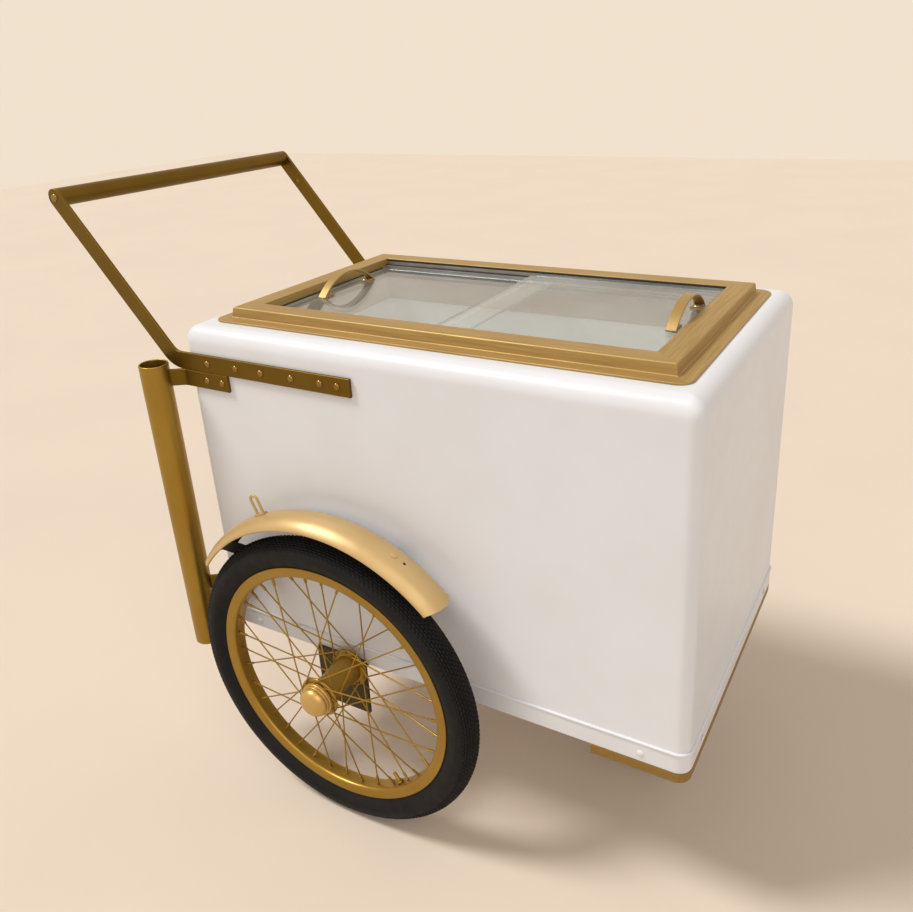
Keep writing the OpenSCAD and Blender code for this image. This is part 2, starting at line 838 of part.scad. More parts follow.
module grip_tube() {
  color(gold) facing_near(grip_x, side_y, grip_z) difference() {
    cylinder(h = body_wid, d = grip_od);
    translate([0, 0, -over]) cylinder(h = body_wid + 2 * over, d = grip_od - 2 * grip_wall);
  }
}

module grip_plugs() {
  color("gray") for (far = [false, true]) near_or_far(far)
    facing_near(grip_x, plug_len - side_y, grip_z) difference() {
      cylinder(h = plug_len, d = grip_od - 2 * grip_wall);
      translate([0, 0, -over]) cylinder(h = plug_len + 2 * over, r = bolt_r + hole_gap);
    }
}

module grip_bolts() {
  color("goldenrod") for (far = [false, true]) near_or_far(far)
    facing_near(grip_x, -side_y - bar_t, grip_z) domed_bolt(bar_t + plug_len * 0.8);
}

// Umbrella tube

module tube_space(r) {
  translate([tube_x, tube_y, tube_z]) cylinder(h = tube_len, r = r);
}

module umbrella_tube() {
  color(gold) difference() {
    tube_space(tube_od / 2);
    translate([tube_x, tube_y, tube_z - over]) cylinder(h = tube_len + 2 * over, d = tube_od - 2 * tube_wall);
  }
}

module tube_end_disc() {
  color(gold) translate([tube_x, tube_y, tube_z - tube_disc_t]) cylinder(h = tube_disc_t, d = tube_od);
}

// A flat strap on the body's side that bends out past the rear corner to the tube
module tube_bracket(z, front) {
  mid_y = -side_y - bracket_t / 2;
  color(gold) difference() {
    translate([0, 0, z - bracket_w / 2]) linear_extrude(bracket_w) strap([
      [rear_x + front, mid_y], [rear_x - bracket_t, mid_y], [tube_x, tube_y]
    ], bracket_t);
    tube_space(tube_od / 2 + seat_gap);
    at_bracket_bolts() bolt_hole(2 * bracket_t);
  }
}

module upper_tube_bracket() {
  tube_bracket(upper_bracket_z, bracket_front);
}

module lower_tube_bracket() {
  tube_bracket(lower_bracket_z, lower_bracket_front);
}

module tube_bracket_bolts() {
  color("goldenrod") at_bracket_bolts() translate([0, 0, bracket_t])
    domed_bolt(bracket_t + shell_t + bolt_grip);
}

// Axles

// An angle bracket: a flat leg under the body and an upright leg that carries the stub axle
module axle_bracket() {
  length = plate_front + plate_rear;
  color(gold) difference() {
    union() {
      translate([axle_x - plate_rear, -plate_y - plate_t, body_z - plate_down])
        cube([length, plate_t, plate_down + plate_up]);
      translate([axle_x - plate_rear, -plate_y - plate_t, body_z - plate_t])
        cube([length, plate_leg + plate_t, plate_t]);
    }
    at_wheel() translate([0, 0, -plate_face - 2 * plate_t]) cylinder(h = 3 * plate_t, r = stub_r + hole_gap);
    at_plate_bolts() bolt_hole(2 * plate_t);
  }
}

module near_axle_bracket() {
  axle_bracket();
}

module far_axle_bracket() {
  mirror([0, 1, 0]) axle_bracket();
}

module axle_bracket_bolts() {
  color("silver") at_plate_bolts() translate([0, 0, -plate_t]) mirror([0, 0, 1])
    domed_bolt(plate_t + pan_t + bolt_grip);
}

module stub_axle() {
  color("silver") at_wheel() {
    translate([0, 0, -plate_face - plate_t]) cylinder(h = plate_face + plate_t + stub_end, r = stub_r);
    translate([0, 0, -plate_face]) cylinder(h = plate_face - hub_in - side_gap, r = stub_collar_r);
  }
}

module near_stub_axle() {
  stub_axle();
}

module far_stub_axle() {
  mirror([0, 1, 0]) stub_axle();
}

module axle_nuts() {
  color("silver") for (far = [false, true]) near_or_far(far)
    at_wheel() translate([0, 0, nut_z]) difference() {
      cylinder(h = nut_t, r = nut_r, $fn = 6);
      translate([0, 0, -over]) cylinder(h = nut_t + 2 * over, r = stub_r + run_gap);
    }
}

// Fenders

module fender_section() {
  translate([fender_r - fender_bow, 0]) intersection() {
    difference() {
      circle(fender_bow);
      circle(fender_bow - fender_t);
    }
    translate([fender_bow - lip_drop, -fender_half]) square([lip_drop, 2 * fender_half]);
  }
}

// A hole down through the crown at an angle
module crown_hole(deg, r) {
  at_fender(deg) translate([fender_r - lip_drop, 0, 0]) rotate([0, 90, 0]) cylinder(h = 2 * lip_drop, r = r);
}

// Rounds an end off to a tongue. The way is 1 at the front end and -1 at the rear end.
module end_trim(deg, way) {
  at_fender(deg) difference() {
    translate([fender_r - 2 * lip_drop, -2 * fender_tongue, -fender_half - over])
      cube([3 * lip_drop, 4 * fender_tongue, 2 * (fender_half + over)]);
    translate([fender_r - 3 * lip_drop, way * end_r, 0]) rotate([0, 90, 0])
      cylinder(h = 5 * lip_drop, r = end_r);
  }
}

module fender() {
  color(gold) difference() {
    at_fender(fender_front_deg - 1) rotate_extrude(angle = fender_rear_deg - fender_front_deg + 2)
      fender_section();
    end_trim(fender_front_deg, 1);
    end_trim(fender_rear_deg, -1);
    crown_hole(hole_deg, hole_r);
    for (deg = stay_degs) crown_hole(deg, bolt_r + hole_gap);
  }
}

module near_fender() {
  fender();
}

module far_fender() {
  mirror([0, 1, 0]) fender();
}

// A slotted loop that stands on each crown
module fender_loops() {
  color(gold) for (far = [false, true]) near_or_far(far) difference() {
    at_fender(loop_deg) translate([fender_r, 0, -loop_t / 2]) linear_extrude(loop_t) difference() {
      union() {
        translate([-fender_t, -loop_w / 2]) square([loop_ht - loop_w / 2 + fender_t, loop_w]);
        translate([loop_ht - loop_w / 2, 0]) circle(loop_w / 2);
      }
      translate([loop_w / 2, -loop_w / 4]) square([loop_ht - loop_w, loop_w / 2]);
      for (x = [loop_w / 2, loop_ht - loop_w / 2]) translate([x, 0]) circle(loop_w / 4);
    }
    at_fender(0) cylinder(h = 2 * loop_t, r = fender_r, center = true, $fn = 256);
  }
}

// A strap from under the crown, round the inner edge and across to the body's side
module fender_stay(deg) {
  at_fender(deg) difference() {
    rotate([90, 0, 0]) linear_extrude(stay_w, center = true) strap([
      [stay_r, stay_seat], [stay_r, -stay_seat], [stay_under, -fender_half - stay_t],
      [stay_under, stay_body + stay_t / 2], [stay_under - stay_tab, stay_body + stay_t / 2]
    ], stay_t);
    translate([stay_r - lip_drop, 0, 0]) rotate([0, 90, 0]) cylinder(h = 2 * lip_drop, r = bolt_r + hole_gap);
    translate([stay_bolt_r, 0, stay_body]) bolt_hole(2 * stay_t);
  }
}

module fender_stays() {
  color([0.08, 0.08, 0.08]) for (far = [false, true], deg = stay_degs) near_or_far(far) fender_stay(deg);
}

module fender_stay_bolts() {
  color([0.08, 0.08, 0.08]) for (far = [false, true]) near_or_far(far)
    at_stay_bolts() translate([0, 0, stay_t]) domed_bolt(stay_t + shell_t + bolt_grip);
}

// Rivets through the crown and the stay below it
module fender_rivets() {
  foot = stay_r - stay_t / 2 - fender_t;
  color(gold) for (far = [false, true], deg = stay_degs) near_or_far(far)
    at_fender(deg) rotate([0, 90, 0]) {
      translate([0, 0, fender_r]) dome(rivet_r, rivet_rise);
      translate([0, 0, foot]) cylinder(h = fender_r - foot + rivet_rise / 2, r = bolt_r);
      translate([0, 0, foot]) cylinder(h = fender_t, r = rivet_r);
    }
}

// Road wheels

module tyre_section() {
  bead = rim_w / 2 - rim_wall - seat_gap;
  hollow = tyre_w / 2 - tyre_wall;
  middle = tyre_r - tyre_w / 2;
  bed = rim_r - rim_bed + seat_gap;
  difference() {
    union() {
      translate([middle, 0]) circle(tyre_w / 2);
      translate([bed, -bead]) square([middle - bed, 2 * bead]);
    }
    translate([middle, 0]) circle(hollow);
    translate([bed - over, tyre_wall - bead]) square([middle - bed + over, 2 * (bead - tyre_wall)]);
  }
}

// A channel that holds the tyre's beads
module rim_section() {
  half = rim_w / 2;
  bed = rim_r - rim_bed;
  inner = rim_r - rim_depth;
  polygon([
    [rim_r, half], [rim_r, half - rim_wall], [bed, half - rim_wall], [bed, rim_wall - half],
    [rim_r, rim_wall - half], [rim_r, -half], [bed - rim_wall, -half], [inner, -half / 2],
    [inner, half / 2], [bed - rim_wall, half]
  ]);
}

// One spoke with its pin in the hub's flange and its nipple at the rim
module spoke(i) {
  outer = i % 2 == 0;
  lean = floor(i / 2) % 2 == 0 ? 1 : -1;
  rim_deg = i * 360 / spoke_count;
  hub_deg = rim_deg + lean * spoke_lean;
  flange_z = outer ? outer_flange : -inner_flange;
  beside = hub_flange_t / 2 + head_r + hole_gap + spoke_r;
  hub_end = [spoke_hole_r * cos(hub_deg), spoke_hole_r * sin(hub_deg), flange_z + lean * beside];
  rim_end_r = rim_r - rim_depth - 2 * seat_gap;
  rim_end = [rim_end_r * cos(rim_deg), rim_end_r * sin(rim_deg), lean * (spoke_r + seat_gap)];
  along = (rim_end - hub_end) / norm(rim_end - hub_end);
  rod(hub_end, rim_end - nipple_len / 2 * along, spoke_r);
  rod(rim_end - nipple_len * along, rim_end, nipple_r);
  rod(hub_end + [0, 0, lean * head_r], hub_end - [0, 0, lean * (2 * beside - spoke_r)], head_r);
}

module spokes() {
  for (i = [0 : spoke_count - 1]) at_wheel() spoke(i);
}

// The hub's shell, with a seat for a bearing in each end and a hole for each spoke
module hub() {
  mid_bore = stub_r + hub_past;
  at_wheel() difference() {
    union() {
      translate([0, 0, -hub_in]) cylinder(h = hub_in + hub_out, r = barrel_r);
      for (z = [outer_flange, -inner_flange])
        translate([0, 0, z - hub_flange_t / 2]) cylinder(h = hub_flange_t, r = flange_r);
    }
    translate([0, 0, -hub_in - over]) cylinder(h = hub_in + hub_out + 2 * over, r = mid_bore);
    translate([0, 0, hub_out - bearing_w]) cylinder(h = bearing_w + over, r = bearing_r);
    translate([0, 0, -hub_in - over]) cylinder(h = bearing_w + over, r = bearing_r);
    for (i = [0 : spoke_count - 1]) {
      lean = floor(i / 2) % 2 == 0 ? 1 : -1;
      z = i % 2 == 0 ? outer_flange : -inner_flange;
      rotate(i * 360 / spoke_count + lean * spoke_lean)
        translate([spoke_hole_r, 0, z - hub_flange_t]) cylinder(h = 2 * hub_flange_t, r = head_r + hole_gap);
    }
  }
}

module bearings() {
  at_wheel() for (z = [hub_out - bearing_w, -hub_in]) translate([0, 0, z]) difference() {
    cylinder(h = bearing_w, r = bearing_r);
    translate([0, 0, -over]) cylinder(h = bearing_w + 2 * over, r = stub_r + run_gap);
  }
}

// A stepped cap with a domed end, hollow for the axle nut
module dust_cap() {
  step = cap_len / 5;
  neck_r = cap_r - cap_wall;
  nose_r = neck_r - cap_wall;
  at_wheel() translate([0, 0, hub_out]) difference() {
    union() {
      cylinder(h = step, r = cap_r);
      cylinder(h = 2 * step, r = neck_r);
      translate([0, 0, 2 * step]) dome(nose_r, cap_len - 2 * step);
    }
    translate([0, 0, -over]) cylinder(h = stub_end - hub_out + side_gap + over, r = nut_r + side_gap);
  }
}

module near_tyre() {
  color([0.07, 0.07, 0.07]) at_wheel() rotate_extrude() tyre_section();
}

module near_rim() {
  color(gold) at_wheel() rotate_extrude() rim_section();
}

module near_spokes() {
  color(gold) spokes();
}

module near_hub() {
  color(gold) hub();
}

module near_bearings() {
  color("silver") bearings();
}

module near_dust_cap() {
  color(gold) dust_cap();
}

module far_tyre() {
  mirror([0, 1, 0]) near_tyre();
}

module far_rim() {
  mirror([0, 1, 0]) near_rim();
}

module far_spokes() {
  mirror([0, 1, 0]) near_spokes();
}

module far_hub() {
  mirror([0, 1, 0]) near_hub();
}

module far_bearings() {
  mirror([0, 1, 0]) near_bearings();
}

module far_dust_cap() {
  mirror([0, 1, 0]) near_dust_cap();
}

// Front caster

module at_caster_bolts() {
  for (sx = [-1, 1], sy = [-1, 1])
    translate([swivel_x + sx * plate_bolt_x, sy * plate_bolt_y, board_z]) children();
}

module caster_top_plate() {
  color("silver") difference() {
    union() {
      translate([swivel_x, 0, top_plate_z]) linear_extrude(top_plate_t)
        round_rect(top_plate_len, top_plate_wid, bolt_head_r);
      translate([swivel_x, 0, race_z]) cylinder(h = race_ht, r = race_r);
      at_caster_bolts() translate([0, 0, -top_plate_t]) mirror([0, 0, 1]) domed_bolt(top_plate_t + board_t);
    }
    translate([swivel_x, 0, race_z - over]) cylinder(h = race_ht + top_plate_t + 2 * over, r = kingpin_r);
  }
}

// The kingpin, fixed in the top plate, with a head below the fork's crown
module caster_kingpin() {
  color("silver") translate([swivel_x, 0, 0]) {
    translate([0, 0, crown_z - side_gap]) cylinder(h = board_z - crown_z + side_gap, r = kingpin_r);
    translate([0, 0, crown_z - side_gap - kingpin_head_ht]) cylinder(h = kingpin_head_ht, r = kingpin_head_r);
  }
}

// A leg of the fork in side view, from the crown back to the axle's eye
module fork_leg() {
  rise = crown_z + fork_t - caster_r;
  polygon([
    [-fork_eye_r - caster_trail, 0], [fork_eye_r - caster_trail, 0], [crown_r * 0.8, rise - crown_r / 2],
    [crown_r * 0.8, rise], [-crown_r, rise]
  ]);
  translate([-caster_trail, 0]) circle(fork_eye_r);
}

module caster_fork() {
  color("silver") difference() {
    union() {
      translate([swivel_x, 0, crown_z]) linear_extrude(fork_t) {
        circle(crown_r);
        translate([-crown_r, -leg_gap - fork_t]) square([crown_r * 1.8, 2 * (leg_gap + fork_t)]);
      }
      for (far = [false, true]) near_or_far(far)
        facing_near(swivel_x, -leg_gap, caster_r) linear_extrude(fork_t) fork_leg();
    }
    translate([swivel_x, 0, crown_z - over]) cylinder(h = fork_t + 2 * over, r = kingpin_r + run_gap);
    facing_near(caster_x, leg_gap + 2 * fork_t, caster_r)
      cylinder(h = 2 * leg_gap + 4 * fork_t, r = caster_axle_r + hole_gap);
  }
}

// The axle bolt, with a head on the near leg and a nut on the far one
module caster_axle_bolt() {
  half = leg_gap + fork_t;
  color("silver") facing_near(caster_x, 0, caster_r) {
    translate([0, 0, -half - caster_axle_r]) cylinder(h = 2 * half + caster_axle_r, r = caster_axle_r);
    translate([0, 0, half]) cylinder(h = caster_axle_r, r = 1.7 * caster_axle_r, $fn = 6);
    translate([0, 0, -half - caster_axle_r]) cylinder(h = caster_axle_r, r = 1.7 * caster_axle_r, $fn = 6);
  }
}

// The caster's wheel: a disc with a rim that the tyre sits on and a hub wider than the disc
module caster_wheel() {
  hub_half = leg_gap - side_gap;
  hub_r = 3 * caster_axle_r;
  color("silver") facing_near(caster_x, 0, caster_r) difference() {
    union() {
      cylinder(h = caster_w, r = caster_core_r, center = true);
      cylinder(h = 2 * hub_half, r = hub_r, center = true);
    }
    for (s = [0, 1]) mirror([0, 0, s]) translate([0, 0, caster_w / 3]) difference() {
      cylinder(h = caster_w, r = caster_core_r - fork_t);
      translate([0, 0, -over]) cylinder(h = caster_w + 2 * over, r = hub_r);
    }
    cylinder(h = 3 * hub_half, r = caster_axle_r + run_gap, center = true);
  }
}

// A solid tyre, rounded at its shoulders
module caster_tyre() {
  shoulder = caster_w / 4;
  color([0.2, 0.2, 0.2]) facing_near(caster_x, 0, caster_r) rotate_extrude() translate([caster_core_r, 0]) {
    translate([0, -caster_w / 2]) square([caster_tyre_t - shoulder, caster_w]);
    translate([0, -shoulder]) square([caster_tyre_t, 2 * shoulder]);
    for (s = [-1, 1]) translate([caster_tyre_t - shoulder, s * shoulder]) circle(shoulder);
  }
}

body_shell();
base_pan();
base_rivets();
insulation();
inner_liner();
throat_collar();
caster_board();
board_screws();
top_frame();
pane_tracks();
glide_strips();
end_seals();
left_glass();
left_pane_handle();
left_handle_screws();
right_glass();
right_pane_handle();
right_handle_screws();
near_push_bar();
far_push_bar();
push_bar_bolts();
grip_tube();
grip_plugs();
grip_bolts();
umbrella_tube();
tube_end_disc();
upper_tube_bracket();
lower_tube_bracket();
tube_bracket_bolts();
near_axle_bracket();
far_axle_bracket();
axle_bracket_bolts();
near_stub_axle();
far_stub_axle();
axle_nuts();
near_fender();
far_fender();
fender_loops();
fender_stays();
fender_stay_bolts();
fender_rivets();
near_tyre();
near_rim();
near_spokes();
near_hub();
near_bearings();
near_dust_cap();
far_tyre();
far_rim();
far_spokes();
far_hub();
far_bearings();
far_dust_cap();
caster_top_plate();
caster_kingpin();
caster_fork();
caster_axle_bolt();
caster_wheel();
caster_tyre();
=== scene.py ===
"""Looks of the ice cream push cart: surfaces, finishes and studio, built round the packed CAD part."""

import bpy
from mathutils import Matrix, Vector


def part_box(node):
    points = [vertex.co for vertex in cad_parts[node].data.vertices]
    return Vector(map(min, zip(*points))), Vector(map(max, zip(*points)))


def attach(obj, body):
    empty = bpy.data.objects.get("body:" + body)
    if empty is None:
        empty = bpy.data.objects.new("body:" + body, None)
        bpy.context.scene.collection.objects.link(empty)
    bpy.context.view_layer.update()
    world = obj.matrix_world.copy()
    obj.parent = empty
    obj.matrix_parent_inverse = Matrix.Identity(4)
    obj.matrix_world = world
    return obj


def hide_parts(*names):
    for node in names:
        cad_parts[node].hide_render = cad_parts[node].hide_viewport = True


bl_info = {
    "name": "Ice Cream Push Cart",
    "version": (1, 0, 0),
    "blender": (4, 5, 0),
    "location": "View3D > Sidebar > Push Cart",
    "description": "Builds the visible surfaces of an ice cream push cart round its CAD frame",
    "category": "Object",
}

import math
from functools import cache
from typing import NamedTuple

import bpy
import numpy as np
from bpy.props import FloatProperty, FloatVectorProperty, IntProperty, PointerProperty
from mathutils import Matrix

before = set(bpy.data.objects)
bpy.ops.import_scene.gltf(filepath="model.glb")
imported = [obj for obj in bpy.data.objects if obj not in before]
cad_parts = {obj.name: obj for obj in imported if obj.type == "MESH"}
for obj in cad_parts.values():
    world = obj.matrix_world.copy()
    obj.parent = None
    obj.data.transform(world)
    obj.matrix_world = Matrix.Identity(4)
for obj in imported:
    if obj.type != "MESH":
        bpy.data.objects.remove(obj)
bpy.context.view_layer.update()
MM = 0.001
SIDES = ((-1, "near"), (1, "far"))
SHARP = 50  # degrees past which an edge is shaded sharp
TIP = 0.02  # angle from the axis at which a dome's last ring stands, which a flat face closes


class Box:
    """A CAD node's box, in metres: its corners, its middle and half its size."""

    def __init__(self, node):
        self.low, self.high = map(np.array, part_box(node))
        self.mid, self.half = (self.low + self.high) / 2, (self.high - self.low) / 2


BODY, PAN, LID, BAR, GRIP, TYRE, RIM = map(Box, (
    "body_shell", "base_pan", "top_frame", "near_push_bar", "grip_tube", "near_tyre", "near_rim"))
BODY_X = np.array([BODY.mid[0], 0.0, 0.0])
AXLE_X, AXLE_Z, WHEEL_Y = TYRE.mid[0], TYRE.mid[2], abs(TYRE.mid[1])


# Sizes and colours that a user may change

def length(name, description, millimetres):
    return FloatProperty(name=name, description=description, default=millimetres * MM, unit="LENGTH",
                         precision=4)


def angle(name, description, degrees):
    return FloatProperty(name=name, description=description, default=math.radians(degrees), subtype="ANGLE")


def colour(name, description, red, green, blue):
    return FloatVectorProperty(name=name, description=description, default=(red, green, blue), size=3,
                               min=0.0, max=1.0, subtype="COLOR")


class CartBodySizes(bpy.types.PropertyGroup):
    edge_r: length("Upright edges", "Radius of the body's four upright edges", 18)
    top_r: length("Top edge", "Radius of the body's top edge", 24)
    front_lean: length("Front lean", "How far the front face leans back over the body's height", 18)
    skin: length("Skin", "Thickness of the body's skin", 3)
    bead_r: length("Strip bead", "Radius of the bead along the base strip's top", 2.2)
    rivet_r: length("Rivet", "Radius of a rivet's head in the base strip", 5)
    rivet_up: length("Rivet height", "Height of a rivet above the base strip's foot", 14)
    rivet_inset: length("Rivet inset", "Distance from a body corner to the rivet beside it", 64)
    board_edge: length("Board edge", "Rounding of the board's edges", 1.5)


class CartLidSizes(bpy.types.PropertyGroup):
    corner_r: length("Flange corners", "Radius of the lid frame's flange corners", 20)
    flange: length("Flange", "Width of the flat flange", 21)
    flange_t: length("Flange thickness", "Thickness of the flange", 3)
    lean: length("Lean", "How far the steep face leans inward", 2)
    rim: length("Rim", "Width of the rim's flat top", 33.5)
    ledges: length("Ledges", "Width of a track's two ledges together", 20)
    arris: length("Glass arris", "Ground edge of the glass", 0.6)
    pull_foot: length("Handle foot", "Length of a pane handle's flat foot", 26)
    pull_t: length("Handle strap", "Thickness of a pane handle's strap", 3)


class CartHandleSizes(bpy.types.PropertyGroup):
    bar_w: length("Bar width", "Width of a push bar", 27)
    bend_back: length("Bend", "Distance from the body's rear face to the bend", 20)
    bend_r: length("Bend run", "Length over which a bar bends", 34)
    bolt_r: length("Bolt head", "Radius of a domed bolt head", 5.5)
    bolt_rise: length("Bolt rise", "Height of a domed bolt head", 3.4)
    grip_wall: length("Grip wall", "Wall of the grip tube", 2)
    tube_wall: length("Tube wall", "Wall of the umbrella tube", 2.5)
    bracket_t: length("Bracket", "Thickness of a tube bracket", 5)


class CartWheelSizes(bpy.types.PropertyGroup):
    tread_depth: length("Tread depth", "Depth of the grooves in the tyre's tread", 2.0)
    tread_blocks: IntProperty(name="Tread blocks", description="Blocks round the tyre", default=190, min=60,
                              max=260)
    spokes: IntProperty(name="Spokes", description="Spokes in a wheel", default=36, min=28, max=36)
    spoke_r: length("Spoke", "Radius of a spoke", 1.15)
    spoke_lean: angle("Spoke lean", "Angle by which a spoke leans round the hub", 58)
    hub_r: length("Hub", "Radius of the hub's barrel", 23)
    hub_flange_r: length("Hub flange", "Radius of the hub's flanges", 33)
    hub_out: length("Hub end", "Distance from the wheel's middle plane to the hub's outer end", 40)
    cap_r: length("Dust cap", "Radius of the dust cap", 27)
    fender_ahead: length("Fender ahead", "How far the fender's centre lies ahead of the axle", 10.6)
    fender_above: length("Fender above", "How far the fender's centre lies above the axle", 16.5)
    fender_r: length("Fender radius", "Radius of the fender's crown", 281)
    fender_bow: length("Fender bow", "Radius of the fender's cross section", 38)
    fender_half: length("Fender half width", "Half the fender's width", 31.6)
    fender_t: length("Fender sheet", "Thickness of the fender's sheet", 1.5)
    fender_front: angle("Fender front", "Angle of the fender's front end", 43.5)
    fender_rear: angle("Fender rear", "Angle of the fender's rear end", 145.5)
    fender_tongue: length("Fender tongue", "How far a fender's end reaches past its corners", 10)
    front_stay: angle("Front stay", "Angle of the front stay", 63.5)
    rear_stay: angle("Rear stay", "Angle of the rear stay", 140)
    stay_low: length("Stay drop", "How far below the fender's edge a stay crosses to the body", 24)
    stay_tab: length("Stay end", "Length of a stay's flat end on the body", 26)
    stay_w: length("Stay width", "Width of a stay", 28)
    stay_t: length("Stay thickness", "Thickness of a stay", 3)
    hole_turn: angle("Fender hole", "Angle of the hole in the fender's crown", 59.8)
    hole_r: length("Fender hole radius", "Radius of the hole in the fender's crown", 2.6)
    loop_turn: angle("Loop", "Angle of the loop on the fender's crown", 113)
    valve_turn: angle("Valve", "Angle of the tyre valve", -55)


class CartColours(bpy.types.PropertyGroup):
    gold: colour("Frame gold", "Satin gold of the lid frame", 0.420, 0.272, 0.086)
    # Painted light: the fenders' gold is the one gold paint made lighter, standing in for the light that
    # falls on them
    pale: colour("Pale gold", "Pale gold of the fenders", 0.595, 0.412, 0.179)
    # Painted shade: the rims' and the tube's gold is the one gold paint made darker, for their shaded faces
    bright: colour("Rim gold", "Shaded gold of the rims and the umbrella tube", 0.375, 0.230, 0.038)
    # Painted shade: the bars' gold is the one gold paint made darker, for the shade and the dark reflections
    # on them
    bronze: colour("Bar gold", "Darkened gold of the push bars", 0.170, 0.100, 0.011)
    # Painted shade: the bolts' gold is the one gold paint made darker, for the shade on them
    bolt: colour("Bolt gold", "Glossy gold of the bolts", 0.33, 0.20, 0.06)
    # Painted shade: the axle brackets are the one gold paint made very dark, for the shade they stand in
    bracket: colour("Bracket gold", "Dark gold of the axle brackets", 0.075, 0.055, 0.018)
    white: colour("White skin", "White of the body", 0.800, 0.796, 0.796)
    liner: colour("Tub lining", "White of the tub's lining", 0.900, 0.925, 0.900)
    collar: colour("Throat collar", "Beige of the band under the lid frame", 0.500, 0.405, 0.290)
    foam: colour("Foam", "Yellow of the foam", 0.66, 0.56, 0.34)
    aluminium: colour("Aluminium", "Metal of the tracks and the caster's wheel", 0.50, 0.49, 0.465)
    zinc: colour("Zinc", "Plating of screws, axles and the caster", 0.55, 0.55, 0.54)
    rubber: colour("Tyre rubber", "Black of the road tyres", 0.0065, 0.0060, 0.0060)
    caster: colour("Caster rubber", "Grey of the caster's tyre", 0.045, 0.045, 0.045)
    stay: colour("Stay paint", "Black of the fender stays", 0.018, 0.017, 0.016)
    seal: colour("Seal", "Black of seals and glide strips", 0.012, 0.012, 0.012)
    # Painted shade: a black on the fenders' inner faces, standing in for the shade inside them
    underseal: colour("Underseal", "Black inside the fenders", 0.010, 0.009, 0.008)
    plug: colour("Plug", "Grey of the grip's plugs", 0.16, 0.16, 0.16)
    glass: colour("Glass", "Tint of the panes", 0.980, 0.989, 0.982)
    glass_edge: colour("Glass edge", "Tint of the panes' edges", 0.42, 0.52, 0.47)
    film: colour("Glass film", "Pale film on the panes", 0.78, 0.80, 0.77)
    floor: colour("Floor", "Colour of the floor", 0.765, 0.637, 0.494)
    bounce: colour("Floor bounce", "Colour of the light that the floor throws back", 0.740, 0.640, 0.545)
    fill: colour("Sky", "Colour of the even light from the sky", 0.42, 0.395, 0.382)
    wall: colour("Backdrop", "Colour behind the floor", 0.88, 0.755, 0.615)


def sizes(kind):
    return getattr(bpy.context.scene, "cart_" + kind)


# Surfaces: a piece is a list of parts, and a part is (points, list of face index arrays)

def outward(points, faces):
    """Turns a closed surface's faces so that the volume they enclose is positive."""
    total = 0.0
    for f in faces:
        a = points[f[:, 0]]
        for k in range(1, f.shape[1] - 1):
            total += np.einsum("ij,ij->", a, np.cross(points[f[:, k]], points[f[:, k + 1]]))
    return points, faces if total > 0 else [f[:, ::-1] for f in faces]


def skin(grid, ring=False):
    """Covers a grid of points with quads. Each row is a closed loop. The rows join up in a ring, or flat
    faces close the first and the last row."""
    n, m = grid.shape[:2]
    index = np.arange(n * m).reshape(n, m)
    rows = np.concatenate([index, index[:1]]) if ring else index
    rows = np.concatenate([rows, rows[:, :1]], 1)
    faces = [np.stack([rows[:-1, :-1], rows[1:, :-1], rows[1:, 1:], rows[:-1, 1:]], -1).reshape(-1, 4)]
    if not ring:
        faces += [index[:1], index[-1:, ::-1]]
    return outward(grid.reshape(-1, 3), faces)


def rounded_loop(half_x, half_y, radius, centre_x=0.0, steps=8, rest=4 * MM):
    """A rectangle's outline with quarter-circle corners, counter-clockwise, with one more point a little
    way along each straight, as (n, 2) points."""
    corner = np.repeat(np.arange(4), steps + 3)
    a = np.tile(np.concatenate([[0], arc(0, np.pi / 2, steps), [np.pi / 2]]), 4) + corner * np.pi / 2
    slide = np.tile(np.concatenate([[-rest], np.zeros(steps + 1), [rest]]), 4)
    sign_x = np.where(np.isin(corner, (0, 3)), 1, -1)
    sign_y = np.where(corner < 2, 1, -1)
    x = sign_x * (half_x - radius) + radius * np.cos(a) - slide * np.sin(a)
    y = sign_y * (half_y - radius) + radius * np.sin(a) + slide * np.cos(a)
    return np.stack([x + centre_x, y], 1)


def stacked(loops, heights):
    """Plan outlines set one above another, each at its own height."""
    return np.stack([np.column_stack([p, np.full(len(p), z)]) for p, z in zip(loops, heights)])


def arc(start, stop, steps):
    return np.linspace(start, stop, steps + 1)


def on_circle(a, radius, u, v):
    """Points on a circle about (u, v), at angles from the first axis toward the second."""
    return np.stack([u + radius * np.cos(a), v + radius * np.sin(a)], 1)


def section(width, height, radius, steps=3):
    """A rounded rectangle about the origin, for carrying along a path."""
    return rounded_loop(width / 2, height / 2, radius, 0.0, steps, min(width, height) * 0.1)


def evenly(path, step):
    """A polyline's points again, at even steps along it."""
    run = np.concatenate([[0], np.cumsum(np.linalg.norm(np.diff(path, axis=0), axis=1))])
    at = np.linspace(0, run[-1], max(2, int(round(run[-1] / step)) + 1))
    return np.stack([np.interp(at, run, path[:, k]) for k in range(path.shape[1])], 1)


def bent(path, step, window):
    """A polyline with eased corners: each point is the mean of the path over a window about it, and the
    ends stay."""
    p = evenly(np.asarray(path, float), step)
    k = max(1, int(window / step / 2))
    head = 2 * p[0] - p[k:0:-1]
    tail = 2 * p[-1] - p[-2:-k - 2:-1]
    wide = np.concatenate([head, p, tail])
    mean = np.ones(2 * k + 1) / (2 * k + 1)
    return np.stack([np.convolve(wide[:, c], mean, "valid") for c in range(p.shape[1])], 1)


def carried(profile, path, up, width=None):
    """Carries a closed profile along a path. The profile's second axis follows the given direction, and its
    first lies square to that and to the path. Width scales the first axis at each station."""
    tangent = np.gradient(path, axis=0)
    tangent /= np.linalg.norm(tangent, axis=1, keepdims=True)
    up = np.broadcast_to(np.asarray(up, float), path.shape)
    across = np.cross(up, tangent)
    across /= np.linalg.norm(across, axis=1, keepdims=True)
    over = np.cross(tangent, across)
    scale = np.ones(len(path)) if width is None else width
    return skin(path[:, None] + across[:, None] * (profile[None, :, :1] * scale[:, None, None])
                + over[:, None] * profile[None, :, 1:])


